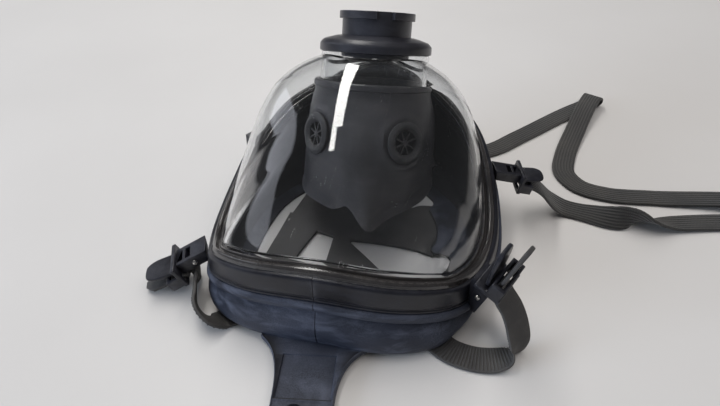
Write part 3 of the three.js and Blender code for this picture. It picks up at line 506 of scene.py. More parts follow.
def node(tree, kind, inputs=None, **settings):
    made = tree.nodes.new(kind)
    for key, value in settings.items():
        setattr(made, key, value)
    for key, value in (inputs or {}).items():
        give(tree, made.inputs[key], value)
    return made


def maths(tree, operation, *values):
    return node(tree, "ShaderNodeMath", dict(enumerate(values)), operation=operation).outputs[0]


def noise(tree, place, scale, detail, distortion=0.0):
    inputs = {"Vector": place, "Scale": scale, "Detail": detail, "Distortion": distortion}
    return node(tree, "ShaderNodeTexNoise", inputs).outputs["Fac"]


def ranged(tree, value, low, high, to_low=0.0, to_high=1.0):
    """A value carried from one range to another."""
    inputs = {"Value": value, "From Min": low, "From Max": high, "To Min": to_low, "To Max": to_high}
    return node(tree, "ShaderNodeMapRange", inputs).outputs[0]


def stretched(tree, place, scale, rotation=(0.0, 0.0, 0.0)):
    inputs = {"Vector": place, "Scale": scale, "Rotation": rotation}
    return node(tree, "ShaderNodeMapping", inputs).outputs[0]


def group_tree(name, inputs, outputs):
    """An empty shader group with float inputs, a vector input for places and float outputs."""
    tree = bpy.data.node_groups.new(name, "ShaderNodeTree")
    tree.interface.new_socket("Place", in_out="INPUT", socket_type="NodeSocketVector")
    for key, value in inputs.items():
        socket = tree.interface.new_socket(key, in_out="INPUT", socket_type="NodeSocketFloat")
        socket.default_value = value
    for key in outputs:
        tree.interface.new_socket(key, in_out="OUTPUT", socket_type="NodeSocketFloat")
    return tree, tree.nodes.new("NodeGroupInput").outputs, tree.nodes.new("NodeGroupOutput").inputs


def dust_group():
    """Pale dust and smears: a mask from broad patches broken up by fine ones."""
    sizes = {"Patch Scale": 60.0, "Speck Scale": 900.0, "Amount": 0.5}
    tree, given, result = group_tree("dust", sizes, ["Mask"])
    broad = ranged(tree, noise(tree, given["Place"], given["Patch Scale"], 4.0), 0.38, 0.72)
    fine = ranged(tree, noise(tree, given["Place"], given["Speck Scale"], 2.0), 0.3, 0.75)
    both = maths(tree, "MULTIPLY", broad, fine)
    tree.links.new(maths(tree, "MULTIPLY", both, given["Amount"]), result["Mask"])
    return tree


def grain_group():
    """Fine moulded grain: a height from small cells and soft noise."""
    tree, given, result = group_tree("grain", {"Scale": 1200.0, "Depth": 1.0}, ["Height"])
    cells = node(tree, "ShaderNodeTexVoronoi", {"Vector": given["Place"], "Scale": given["Scale"]})
    soft = noise(tree, given["Place"], given["Scale"], 3.0)
    both = maths(tree, "ADD", cells.outputs["Distance"], soft)
    tree.links.new(maths(tree, "MULTIPLY", both, given["Depth"]), result["Height"])
    return tree


def rub_and_highlight_group():
    """Edges rubbed pale, and on the bead a painted highlight: a mask where a piece stands out, broken up by
    noise.
    """
    tree, given, result = group_tree("rubbed edges and painted highlights", {"Scale": 250.0, "Amount": 0.5}, ["Mask"])
    edge = node(tree, "ShaderNodeAttribute", attribute_name="rub_and_highlight")
    chips = ranged(tree, noise(tree, given["Place"], given["Scale"], 5.0), 0.35, 0.65)
    both = maths(tree, "MULTIPLY", chips, ranged(tree, edge.outputs["Fac"], 0.08, 0.45))
    tree.links.new(maths(tree, "MULTIPLY", both, given["Amount"]), result["Mask"])
    return tree


DUST = dust_group()
GRAIN = grain_group()
RUB_AND_HIGHLIGHT = rub_and_highlight_group()


# Materials

def place_group(tree, group, inputs):
    return node(tree, "ShaderNodeGroup", inputs, node_tree=group).outputs[0]


def new_material(name):
    material = bpy.data.materials.new(name)
    material.use_nodes = True
    tree = material.node_tree
    tree.nodes.clear()
    shader = tree.nodes.new("ShaderNodeBsdfPrincipled")
    output = tree.nodes.new("ShaderNodeOutputMaterial")
    tree.links.new(shader.outputs[0], output.inputs["Surface"])
    place = tree.nodes.new("ShaderNodeTexCoord").outputs["Object"]
    return material, tree, shader, output, place


def blended(tree, share, low, high):
    """A colour between two, by a share."""
    mix = node(tree, "ShaderNodeMix", {"Factor": share}, data_type="RGBA")
    for key, value in (("A", low), ("B", high)):
        socket = [s for s in mix.inputs if s.name == key and s.type == "RGBA"][0]
        give(tree, socket, value if isinstance(value, bpy.types.NodeSocket) else (*value, 1.0))
    return [s for s in mix.outputs if s.type == "RGBA"][0]


def dusted(tree, place, patch, speck, amount):
    inputs = {"Place": place, "Patch Scale": patch, "Speck Scale": speck, "Amount": amount}
    return place_group(tree, DUST, inputs)


def bumped(tree, height, strength, distance):
    return node(tree, "ShaderNodeBump", {"Height": height, "Strength": strength, "Distance": distance})


def moulded(name, look):
    """Moulded rubber or plastic: a base colour, cloudy tone, smears, dust, pale edges and grain. The pale
    edges are rubbed on most pieces and a painted highlight on the bead.
    """
    material, tree, shader, _, place = new_material(name)
    tone = ranged(tree, noise(tree, place, look["cloud"], 3.0), 0.35, 0.65)
    colour = blended(tree, tone, look["dark"], look["light"])
    # Pale colour where a piece stands out: rubbed edges on most pieces, a painted highlight along the bead's
    # crests.
    rubbed_and_highlit = place_group(tree, RUB_AND_HIGHLIGHT, {"Place": place, "Scale": 300.0, "Amount": look["rub_and_highlight_amount"]})
    colour = blended(tree, rubbed_and_highlit, colour, look["rubbed_and_highlit"])
    dust = dusted(tree, place, look["patch"], 1400.0, look["dust"])
    colour = blended(tree, dust, colour, look["dusty"])
    fold = noise(tree, stretched(tree, place, (1.0, 1.0, 3.5)), look["fold"], 5.0, 0.6)
    smear = ranged(tree, fold, 0.5, 0.72, 0.0, look["smear"])
    colour = blended(tree, smear, colour, look["dusty"])
    # Points that face the seal's hollow take a darker colour: painted shade on the inner face.
    if "inside" in look:
        inner = node(tree, "ShaderNodeAttribute", attribute_name="inside")
        colour = blended(tree, inner.outputs["Fac"], colour, look["inside"])
    tree.links.new(colour, shader.inputs["Base Color"])
    rough = ranged(tree, dust, 0.0, 0.6, look["rough"], min(look["rough"] + 0.25, 1.0))
    tree.links.new(rough, shader.inputs["Roughness"])
    shader.inputs["Specular IOR Level"].default_value = look["shine"]
    grain = place_group(tree, GRAIN, {"Place": place, "Scale": look["grain"], "Depth": 1.0})
    fine = bumped(tree, grain, look["bump"], 0.0002)
    tree.links.new(bumped(tree, fold, look["wrinkle"], 0.001).outputs[0], fine.inputs["Normal"])
    tree.links.new(fine.outputs[0], shader.inputs["Normal"])
    return material


def clear_visor():
    """Clear moulded plastic with faint smears and scratches. Light from lamps passes straight through it,
    dimmed much more than clear plastic dims it, as painted shade on all that lies under the visor.
    """
    material, tree, shader, output, place = new_material("clear visor")
    shader.inputs["Base Color"].default_value = (0.97, 0.98, 0.985, 1.0)
    shader.inputs["Transmission Weight"].default_value = 1.0
    shader.inputs["IOR"].default_value = 1.5
    smear = dusted(tree, place, 45.0, 700.0, 1.0)
    rough = ranged(tree, smear, 0.0, 1.0, 0.012, 0.06)
    lines = noise(tree, stretched(tree, place, (120.0, 16.0, 30.0), (0.3, 0.5, 0.9)), 1.0, 1.0)
    scratch = maths(tree, "MULTIPLY", maths(tree, "COMPARE", lines, 0.5, 0.0016), smear)
    tree.links.new(maths(tree, "MULTIPLY_ADD", scratch, 0.5, rough), shader.inputs["Roughness"])
    # Rays from lamps pass the glass dimmed well below clear plastic: painted shade under the visor.
    clear = node(tree, "ShaderNodeBsdfTransparent", {"Color": (0.66, 0.67, 0.69, 1.0)})
    path = tree.nodes.new("ShaderNodeLightPath")
    parts = {0: path.outputs["Is Shadow Ray"], 1: shader.outputs[0], 2: clear.outputs[0]}
    mix = node(tree, "ShaderNodeMixShader", parts)
    tree.links.new(mix.outputs[0], output.inputs["Surface"])
    return material


def woven_webbing():
    """Woven strap: lengthwise ribs and crossing threads from the strap's own map in millimetres."""
    material, tree, shader, _, place = new_material("woven webbing")
    across = node(tree, "ShaderNodeUVMap", uv_map="strap")
    parts = node(tree, "ShaderNodeSeparateXYZ", {"Vector": across.outputs[0]})
    cord = maths(tree, "SINE", maths(tree, "MULTIPLY", parts.outputs["X"], 2.9))
    thread = maths(tree, "SINE", maths(tree, "MULTIPLY", parts.outputs["Y"], 6.5))
    height = maths(tree, "MULTIPLY_ADD", cord, 1.6, maths(tree, "MULTIPLY", cord, thread))
    colour = blended(tree, ranged(tree, cord, -1.0, 1.0), (0.012, 0.012, 0.013), (0.042, 0.041, 0.04))
    colour = blended(tree, dusted(tree, place, 30.0, 1500.0, 0.5), colour, (0.11, 0.1, 0.085))
    tree.links.new(colour, shader.inputs["Base Color"])
    shader.inputs["Roughness"].default_value = 0.72
    shader.inputs["Sheen Weight"].default_value = 0.25
    tree.links.new(bumped(tree, height, 0.5, 0.0003).outputs[0], shader.inputs["Normal"])
    return material


def turned_steel():
    """Small rivet heads: bright steel with dull patches."""
    material, tree, shader, _, place = new_material("turned steel")
    shader.inputs["Metallic"].default_value = 1.0
    dull = dusted(tree, place, 900.0, 3000.0, 1.0)
    colour = blended(tree, dull, (0.72, 0.71, 0.69), (0.35, 0.33, 0.3))
    tree.links.new(colour, shader.inputs["Base Color"])
    tree.links.new(ranged(tree, dull, 0.0, 1.0, 0.22, 0.5), shader.inputs["Roughness"])
    return material


# The seal's blue is partly the rubber's own slate colour and partly a painted sheen of bluish window light,
# laid evenly over all its colours.
SEAL_RUBBER = moulded("seal rubber", {
    # The inside colour is painted shade on the faces towards the seal's hollow.
    "dark": (0.0175, 0.0203, 0.0305), "light": (0.033, 0.038, 0.0565), "inside": (0.014, 0.014, 0.017),
    "rubbed_and_highlit": (0.078, 0.086, 0.115), "rub_and_highlight_amount": 0.5, "dusty": (0.13, 0.145, 0.195), "dust": 0.55, "smear": 0.5,
    "cloud": 24.0, "patch": 38.0, "fold": 55.0, "grain": 900.0,
    "rough": 0.56, "shine": 0.4, "bump": 0.25, "wrinkle": 0.3,
})
CUP_RUBBER = moulded("nose cup rubber", {
    "dark": (0.037, 0.0355, 0.0385), "light": (0.057, 0.055, 0.0595),
    "rubbed_and_highlit": (0.09, 0.087, 0.091), "rub_and_highlight_amount": 0.5, "dusty": (0.12, 0.116, 0.115), "dust": 0.35, "smear": 0.25,
    "cloud": 30.0, "patch": 55.0, "fold": 40.0, "grain": 900.0,
    "rough": 0.4, "shine": 0.6, "bump": 0.2, "wrinkle": 0.12,
})
VALVE_RUBBER = moulded("valve rubber", {
    "dark": (0.036, 0.035, 0.037), "light": (0.055, 0.054, 0.056),
    "rubbed_and_highlit": (0.11, 0.108, 0.108), "rub_and_highlight_amount": 0.6, "dusty": (0.12, 0.117, 0.115), "dust": 0.3, "smear": 0.15,
    "cloud": 60.0, "patch": 90.0, "fold": 60.0, "grain": 1200.0,
    "rough": 0.4, "shine": 0.5, "bump": 0.2, "wrinkle": 0.05,
})
FRAME_PLASTIC = moulded("frame plastic", {
    "dark": (0.004, 0.004, 0.0065), "light": (0.008, 0.0082, 0.0125),
    "rubbed_and_highlit": (0.06, 0.06, 0.07), "rub_and_highlight_amount": 0.6, "dusty": (0.054, 0.06, 0.084), "dust": 0.22, "smear": 0.12,
    "cloud": 40.0, "patch": 70.0, "fold": 50.0, "grain": 1600.0,
    "rough": 0.33, "shine": 0.5, "bump": 0.3, "wrinkle": 0.03,
})
# A lighter copy of the frame's black plastic for the collar and spigot: the extra lightness is painted light
# on them.
PAINTED_LIGHT_INLET_PLASTIC = moulded("inlet plastic with painted light", {
    "dark": (0.014, 0.014, 0.018), "light": (0.024, 0.024, 0.031),
    "rubbed_and_highlit": (0.08, 0.08, 0.088), "rub_and_highlight_amount": 0.5, "dusty": (0.09, 0.093, 0.11), "dust": 0.3, "smear": 0.2,
    "cloud": 35.0, "patch": 60.0, "fold": 45.0, "grain": 1500.0,
    "rough": 0.32, "shine": 0.6, "bump": 0.2, "wrinkle": 0.03,
})
# The bead's pale edge colour at full strength is a painted highlight along its crests, and its slight warm
# tint is a painted warm reflection.
BEAD_PLASTIC = moulded("bead plastic", {
    "dark": (0.016, 0.0145, 0.0145), "light": (0.026, 0.0235, 0.0235),
    "rubbed_and_highlit": (0.3, 0.28, 0.27), "rub_and_highlight_amount": 1.0, "dusty": (0.1, 0.088, 0.08), "dust": 0.25, "smear": 0.12,
    "cloud": 40.0, "patch": 60.0, "fold": 50.0, "grain": 1600.0,
    "rough": 0.19, "shine": 1.0, "bump": 0.04, "wrinkle": 0.0,
})
STRAP_RUBBER = moulded("strap rubber", {
    "dark": (0.04, 0.0385, 0.039), "light": (0.062, 0.06, 0.06),
    "rubbed_and_highlit": (0.09, 0.087, 0.084), "rub_and_highlight_amount": 0.4, "dusty": (0.12, 0.115, 0.108), "dust": 0.35, "smear": 0.2,
    "cloud": 35.0, "patch": 60.0, "fold": 60.0, "grain": 1100.0,
    "rough": 0.55, "shine": 0.4, "bump": 0.3, "wrinkle": 0.1,
})
CLEAR = clear_visor()
WEBBING = woven_webbing()
STEEL = turned_steel()


# Trees that grow spokes and ribs

def growth_tree(name, sizes):
    """An empty tree with a mesh, sizes and a material as inputs and a mesh as output."""
    tree = bpy.data.node_groups.new(name, "GeometryNodeTree")
    tree.interface.new_socket("Geometry", in_out="INPUT", socket_type="NodeSocketGeometry")
    for key, value in sizes.items():
        kind = "NodeSocketInt" if isinstance(value, int) else "NodeSocketFloat"
        tree.interface.new_socket(key, in_out="INPUT", socket_type=kind).default_value = value
    tree.interface.new_socket("Material", in_out="INPUT", socket_type="NodeSocketMaterial")
    tree.interface.new_socket("Geometry", in_out="OUTPUT", socket_type="NodeSocketGeometry")
    return tree, tree.nodes.new("NodeGroupInput").outputs


def end_growth(tree, given, points, bar, turn):
    """The tree's end: a bar at each point with its turn, made real and given its material."""
    spread = node(tree, "GeometryNodeInstanceOnPoints", {"Points": points, "Instance": bar, "Rotation": turn})
    whole = node(tree, "GeometryNodeRealizeInstances", {"Geometry": spread.outputs[0]})
    finish = {"Geometry": whole.outputs[0], "Material": given["Material"]}
    painted = node(tree, "GeometryNodeSetMaterial", finish)
    tree.links.new(painted.outputs[0], tree.nodes.new("NodeGroupOutput").inputs[0])
    return tree


def spoke_tree():
    """Spokes round a hub: their count, start, reach, width, height and drop are its inputs."""
    tree, given = growth_tree("valve spokes", SPOKE)
    length = maths(tree, "SUBTRACT", given["Reach"], given["Start"])
    size = node(tree, "ShaderNodeCombineXYZ", {"X": length, "Y": given["Width"], "Z": given["Height"]})
    bar = node(tree, "GeometryNodeMeshCube", {"Size": size.outputs[0]})
    middle = maths(tree, "MULTIPLY_ADD", length, 0.5, given["Start"])
    shift = node(tree, "ShaderNodeCombineXYZ", {"X": middle, "Z": given["Drop"]})
    move = {"Geometry": bar.outputs["Mesh"], "Translation": shift.outputs[0]}
    spoke = node(tree, "GeometryNodeTransform", move)
    hubs = node(tree, "GeometryNodePoints", {"Count": given["Count"]})
    number = tree.nodes.new("GeometryNodeInputIndex")
    part = maths(tree, "DIVIDE", number.outputs[0], given["Count"])
    turn = node(tree, "ShaderNodeCombineXYZ", {"Z": maths(tree, "MULTIPLY", part, 2 * math.pi)})
    return end_growth(tree, given, hubs.outputs[0], spoke.outputs[0], turn.outputs[0])


def rib_tree():
    """Round bars at points, each turned by the point's own turn: the ribs of a strap's inner face."""
    tree, given = growth_tree("strap ribs", RIB)
    sizes = {"Vertices": 8, "Radius": given["Radius"], "Depth": given["Length"]}
    bar = node(tree, "GeometryNodeMeshCylinder", sizes)
    lying = {"Geometry": bar.outputs["Mesh"], "Rotation": (math.pi / 2, 0, 0)}
    flat = node(tree, "GeometryNodeTransform", lying)
    turn = node(tree, "GeometryNodeInputNamedAttribute", {"Name": "turn"}, data_type="FLOAT_VECTOR")
    return end_growth(tree, given, given["Geometry"], flat.outputs[0], turn.outputs["Attribute"])


def grown(name, tree, values, points=None):
    """The mesh that a tree gives, from a mesh of points or from nothing, as a new object at the origin."""
    mesh = bpy.data.meshes.new(name)
    if points is not None:
        mesh.from_pydata(points["co"], [], [])
        turn = mesh.attributes.new("turn", "FLOAT_VECTOR", "POINT")
        turn.data.foreach_set("vector", np.asarray(points["turn"], np.float32).ravel())
    piece = placed(name, mesh)
    change = piece.modifiers.new("grow", "NODES")
    change.node_group = tree
    for item in tree.interface.items_tree:
        if item.item_type == "SOCKET" and item.in_out == "INPUT" and item.name in values:
            change[item.identifier] = values[item.name]
    return settled(piece)


SPOKES = spoke_tree()
RIBS = rib_tree()


# Visor

def dome_points(point, out, angles):
    """Rows of the visor's outer face, one row for each angle from the crown, drawn smooth over the crown."""
    foot = beside(point, out, -VISOR["inset"], point[:, 2] + VISOR["edge"])
    to_chin = (point[:, 1] - LEAN["side_end"]) / (LEAN["chin_start"] - LEAN["side_end"])
    lean = LEAN["side"] + (LEAN["chin"] - LEAN["side"]) * np.clip(to_chin, 0, 1)
    reach = np.sin(angles)[:, None]
    rise = np.maximum(np.cos(angles), 0)[:, None] ** lean
    x = foot[:, 0] * reach
    ahead = (foot[:, 1] - VISOR["middle_y"]) * reach
    top = crown_at(VISOR["middle_y"] + ahead)
    drop = np.maximum(top - foot[:, 2], 0) * (1 - rise)
    a, b = x / CROWN["scale"], ahead / CROWN["scale"]
    terms = np.stack([a * a, b * b, a * a * b, b**3, a**4, a * a * b * b, b**4], axis=-1)
    near = np.broadcast_to(reach < CROWN["free"], drop.shape)
    weights = np.linalg.lstsq(terms[near], drop[near], rcond=None)[0]
    share = smooth_step(reach, CROWN["fitted"], CROWN["free"])
    drop = (terms @ weights) * (1 - share) + drop * share
    return np.stack([x, VISOR["middle_y"] + ahead, top - drop], axis=-1)


def grid_normals(rows):
    """Outward normals of a grid whose rows run down from the crown and whose points run round."""
    down = np.gradient(rows, axis=0)
    around = np.roll(rows, -1, axis=1) - np.roll(rows, 1, axis=1)
    normal = np.cross(down, around)
    return normal / np.maximum(np.linalg.norm(normal, axis=2, keepdims=True), 1e-9)


def port_drill(radius, low, high):
    """A round cutter along the inlet's axis."""
    points, faces = rod(radius, low, high, PORT_SIDES)
    return piece_from("drill", at_port(points), faces, CLEAR)


def build_visor():
    count = VISOR["stations"]
    crease = VISOR["crease"]
    point, out, _ = stations_at(np.arange(count) / count)
    outer = dome_points(point, out, VISOR_ANGLES)
    inner = outer - grid_normals(outer) * GLASS
    foot = [beside(point, out, outward, point[:, 2] + up) for outward, up in VISOR_FOOT]
    points, faces = skin([*outer, *foot, *inner[::-1]], ends=True)
    visor = piece_from("clear_visor", points, faces, CLEAR, crease)
    wide, low = NECK["radius"], -NECK["length"]
    bore = wide - NECK["wall"]
    narrow = bore - NECK["sunk"]
    points, faces = turned([(narrow, low), (wide, low), (wide, -GAP), (narrow, -GAP)], PORT_SIDES)
    joined(visor, piece_from("neck", at_port(points), faces, CLEAR), "UNION", crease)
    joined(visor, port_drill(bore, *PORT_CUT), "DIFFERENCE", crease)
    joined(visor, port_drill(COLLAR["radius"] + GAP, -GAP, COLLAR["room"]), "DIFFERENCE", crease)
    dress(visor, "clear", "visor")


# Frame and face seal

def build_frame():
    """The two halves of the clamping frame, with a step near their lower edge."""
    for side, start, shift in (("right", 0.0, GAP / 2), ("left", 0.5, -GAP / 2)):
        point, out, _ = stations_at(start + np.linspace(0, 0.5, FRAME["stations"]))
        band = band_at(point[:, 1])
        corners = [beside(point, out, outward, point[:, 2] - band * down) for outward, down in FRAME_SECTION]
        rows = softened(np.stack(corners, axis=1), FRAME["rounding"])
        rows[[0, -1], :, 0] += shift
        points, faces = skin(rows, ends=True)
        piece = piece_from(f"clamp_frame_{side}", points, faces, FRAME_PLASTIC)
        joined(piece, port_drill(SLEEVE["outer"] + GAP, *PORT_CUT), "DIFFERENCE")
        finished(piece, "plastic", f"frame_{side}")


def build_bead():
    """The polished double bead that holds the glass down on the frame."""
    count = BEAD["stations"]
    point, out, _ = stations_at(np.arange(count) / count)
    corners = [beside(point, out, outward, point[:, 2] + up) for outward, up in BEAD_SECTION]
    points, faces = skin(softened(np.stack(corners, axis=1), BEAD["rounding"], 4), rows_close=True)
    bead = piece_from("glass_bead", points, faces, BEAD_PLASTIC)
    joined(bead, port_drill(SLEEVE["outer"] + GAP, *PORT_CUT), "DIFFERENCE")
    finished(bead, "plastic")


def lift_at(y):
    return BASE["lift"] * (1 - smooth_step(y, BASE["lift_start"], BASE["lift_end"]))


def flap_at(base):
    """Share of the inner flap, which covers the harness on the right and runs out towards both ends."""
    y = base[:, 1]
    return (base[:, 0] > 0) * smooth_step(y, *FLAP["start"]) * (1 - smooth_step(y, *FLAP["end"]))


def seal_section(point, out, base):
    """Section of the rubber skirt: ledge under the frame, wall, turned-in lip and inner face."""
    flap = flap_at(base)
    lift = lift_at(base[:, 1])
    top = point[:, 2] - band_at(point[:, 1]) - SEAT
    ledge = np.minimum(LEDGE["height"], (top - lift) * 0.5)

    def wall(share, inward):
        upper = beside(point, out, WALL["top"] - inward, top - ledge)
        lower = beside(base, out, -inward, lift + WALL["foot"])
        place = upper * (1 - share) + lower * share
        place[:, :2] += out * WALL["swell"] * math.sin(math.pi * share)
        return place

    edge = -BASE["lip"] - FLAP["reach"] * flap
    rows = [
        beside(point, out, WALL["inner"], top),
        beside(point, out, LEDGE["out"] - 1.2, top),
        beside(point, out, LEDGE["out"], top - ledge * 0.3),
        beside(point, out, LEDGE["out"] - 0.6, top - ledge * 0.8),
        wall(0.03, 0.4),
        *(wall(share, 0) for share in (0.12, 0.28, 0.46, 0.64, 0.82, 1)),
        beside(base, out, -1.4, lift),
        beside(base, out, -BASE["lip"] + 4, lift),
        beside(base, out, edge, lift + FLAP["rise"] * flap),
        beside(base, out, edge, lift + 1.6 + FLAP["thick"] * flap),
        beside(base, out, -6, lift + RUBBER + FLAP["root"] * flap),
        *(wall(share, RUBBER) for share in (0.9, 0.5, 0.1)),
        beside(point, out, WALL["inner"], top - RUBBER),
    ]
    return np.stack(rows, axis=1)


def turned_tab(points):
    """Points of the tab, which lies turned a little in plan."""
    points = np.array(points, float)
    x, y = points[..., 0].copy(), points[..., 1] - TAB["turn_y"]
    cosine, sine = math.cos(TAB["turn"]), math.sin(TAB["turn"])
    points[..., 0] = x * cosine - y * sine
    points[..., 1] = x * sine + y * cosine + TAB["turn_y"]
    return points


def tab_half(y, root, root_y):
    """Half width of the forehead tab on one side: a flared root, a straight side and a rounded end."""
    share = np.linspace(0, 1, 60)
    bend = TAB["root_y"] - TAB["fillet"]
    flare_y = TAB["neck_y"] * (1 - share) ** 2 + 2 * bend * share * (1 - share) + root_y * share**2
    flare_x = TAB["half"] * (1 - share**2) + root * share**2
    half = np.interp(y, flare_y, flare_x)
    corner = TAB["corner"]
    inside = np.clip(TAB["end_y"] + corner - y, 0, corner)
    return half - (corner - np.sqrt(np.maximum(corner**2 - inside**2, 0)))


def build_tab():
    """The forehead tab: rolled sides, a sunk bare panel with an outline, and a step in front of it."""
    ys = [TAB["end_y"] + s for s in (0.02, 0.3, 0.9, 1.8, 3, 4.6, 6.6, 9)]
    ys += list(np.linspace(TAB["end_y"] + 11, TAB["panel_near"] - 2.4, 7))
    ys += [TAB["panel_near"] + s for s in (-1.4, -1.0, -0.5, 0.1, 0.6, 1.0)]
    ys += list(np.linspace(TAB["panel_near"] + 3, TAB["panel_far"] - 3, 14))
    ys += [TAB["panel_far"] + s for s in (-1.0, -0.6, -0.1, 0.5, 1.2)]
    ys += list(np.linspace(TAB["panel_far"] + 2.5, TAB["root_y"] + 14, 14))
    ys = np.array(ys)
    panel = TAB["panel_half"]
    marks = [0, 5, 10, panel - 1.1, panel - 0.7, panel - 0.2, panel + 0.3]
    marks = [mark / TAB["half"] for mark in marks] + [0.945, 0.965, 0.985, 1.0]
    across = np.array([-m for m in marks[:0:-1]] + marks)
    right = tab_half(ys, TAB["root"], TAB["root_y"])
    left = tab_half(ys, TAB["left_root"], TAB["left_root_y"])
    half = np.where(across[None, :] > 0, right[:, None], left[:, None])
    body = np.abs(across)[None, :] * TAB["half"]
    flared = body + (half - TAB["half"]) * (np.abs(across) > 0.9)
    x = np.sign(across)[None, :] * np.where(half > TAB["half"], flared, body * half / TAB["half"])
    y = np.repeat(ys[:, None], len(across), axis=1)
    top = TAB["bottom"] + TAB["thick"]
    roll = TAB["roll"] * np.exp(-(((np.abs(across) - TAB["rolled"]) / TAB["roll_width"]) ** 2))
    roll = roll[None, :] * smooth_step(ys, TAB["end_y"], TAB["end_y"] + 8)[:, None]
    edge = -TAB["edge_drop"] * smooth_step(np.abs(across), TAB["rolled"], 1.0)[None, :] ** 2
    end = 1 - smooth_step(ys, TAB["end_y"], TAB["end_y"] + TAB["end_length"])
    end = -TAB["end_drop"] * end[:, None] ** 2
    sunk_x = 1 - smooth_step(np.abs(x), panel - 0.6, panel - 0.1)
    sunk_y = smooth_step(y, TAB["panel_near"] + 0.1, TAB["panel_near"] + 0.6)
    sunk_y = sunk_y * (1 - smooth_step(y, TAB["panel_far"] - 0.6, TAB["panel_far"] - 0.1))
    rim = np.exp(-(((np.abs(x) - panel + TAB["outline_in"]) / TAB["outline_width"]) ** 2))
    rim = rim * sunk_y * TAB["outline"]
    step = -TAB["step"] * (1 - smooth_step(y, TAB["panel_near"] - 1.4, TAB["panel_near"] - 0.5))
    z = top + roll + edge + end + step - TAB["recess"] * sunk_x * sunk_y - rim
    upper = np.stack([x, y, z], axis=2)
    lower = np.stack([x[:, ::-1], y, np.full_like(x, TAB["bottom"])], axis=2)
    rows = turned_tab(np.concatenate([upper, lower], axis=1))
    points, faces = skin(rows, ends=True)
    return piece_from("tab", points, faces, SEAL_RUBBER)


def build_seal():
    near = np.array(SEAM_STEPS) / LOOP_LENGTHS[-1]
    count = SEAL["stations"]
    shares = np.sort(np.concatenate([np.arange(count) / count, near, 1 - near]))
    point, out, base = stations_at(shares)
    rows = softened(seal_section(point, out, base), SEAL["rounding"], 4)
    angle = shares * 2 * math.pi
    slump = sum(depth * np.sin(waves * angle + turn) for depth, waves, turn in SLUMP)
    height = rows[:, :, 2] - rows[:, :, 2].min(axis=1)[:, None]
    height /= np.ptp(rows[:, :, 2], axis=1)[:, None]
    soft = np.sin(np.pi * np.clip(height / SLUMP_TOP, 0, 1)) ** 2
    rows[:, :, :2] += (slump[:, None] * soft * SLUMP_SHARE)[:, :, None] * out[:, None, :]
    from_seam = np.minimum(shares, 1 - shares) * LOOP_LENGTHS[-1]
    groove = -SEAM["depth"] * (1 - smooth_step(from_seam, SEAM["flat"], SEAM["edge"]))
    rows[:, SEAM_ROWS, :2] += groove[:, None, None] * out[:, None, :]
    points, faces = skin(rows, rows_close=True)
    seal = piece_from("rubber_face_seal", points, faces, SEAL_RUBBER)
    joined(seal, build_tab(), "UNION")
    painted_inner_shade_marks(seal)
    finished(seal, "rubber", "face_seal")


def build_stud():
    wide = STUD["radius"]
    corners = [(AXIS, 0), (wide, 0), (wide, 1.5), (wide * 0.55, 3.0), (AXIS, STUD["height"])]
    points, faces = turned(rounded_profile(corners, 0.6), 40)
    top = TAB["bottom"] + TAB["thick"] + GAP
    points = turned_tab(points + np.array([STUD["x"], STUD["y"], top]))
    stud = piece_from("tab_stud", points, faces, FRAME_PLASTIC)
    finished(stud, "plastic", "forehead_stud")


# Air inlet

def build_collar():
    rim, shoulder, top = COLLAR["radius"], COLLAR["rim"], COLLAR["height"]
    throat = SPIGOT["radius"] + GAP
    corners = [
        (throat, 0), (rim - 0.4, 0), (rim, 0.6), (rim, shoulder - 2.2), (rim - 2.4, shoulder + 0.2),
        (throat + 4.5, top - 0.7), (throat + 1.2, top), (throat, top),
    ]
    points, faces = turned(rounded_profile(corners, 1.3, 5), 120)
    collar = piece_from("inlet_collar", at_port(points), faces, PAINTED_LIGHT_INLET_PLASTIC)
    finished(collar, "plastic", "port_collar")


def build_spigot():
    """The air inlet's tube, with a ring of lugs round its top that has gaps for the bayonet."""
    bore, wide, sink, top = SPIGOT["bore"], SPIGOT["radius"], SPIGOT["sink"], SPIGOT["top"]
    low = top - LUG["height"]
    corners = [
        (bore, -sink), (wide, -sink), (wide, low - 0.2), (wide, low), (LUG["radius"], low),
        (LUG["radius"], top - 0.05), (bore, top),
    ]
    profile = rounded_profile(corners, 0.45, 4)
    half_gap = LUG["gap"] / 2
    middles = [-90 + LUG["first"] + 360 * number / LUG["count"] for number in range(LUG["count"])]
    turns = set(np.arange(0, 360, 2.5).tolist())
    for middle in middles:
        for step in (-1.2, -0.4, 0.4, 1.2):
            turns |= {(middle + side * (half_gap + step)) % 360 for side in (-1, 1)}
    rows = []
    for turn in sorted(turns):
        away = min(abs((turn - middle + 180) % 360 - 180) for middle in middles)
        lug = float(smooth_step(away, half_gap - 0.8, half_gap + 0.8))
        radius = np.where(profile[:, 0] > wide, wide + (profile[:, 0] - wide) * lug, profile[:, 0])
        angle = math.radians(turn)
        rows.append(np.column_stack([radius * math.cos(angle), radius * math.sin(angle), profile[:, 1]]))
    points, faces = skin(rows, rows_close=True)
    spigot = piece_from("inlet_spigot", at_port(points), faces, PAINTED_LIGHT_INLET_PLASTIC)
    finished(spigot, "plastic", "port_spigot")


# Nose cup and valves

CUP_LOOP = [row[1:] for row in CUP_LINE]
CUP_TURNS = [*(row[0] for row in CUP_LINE), 360]


def cup_rim(turns, softness):
    """The cup's rim at turns in degrees, with bends shorter than the softness smoothed away."""
    whole = np.arange(360.0)
    share = np.interp(whole, CUP_TURNS, np.arange(len(CUP_TURNS)) / len(CUP_LOOP))
    waves = np.fft.rfft(curve_at(CUP_LOOP, share, True), axis=0)
    damping = np.exp(-0.5 * (np.arange(len(waves)) * math.radians(softness)) ** 2)
    return looked_up(turns, whole, np.fft.irfft(waves * damping[:, None], n=360, axis=0), 360)


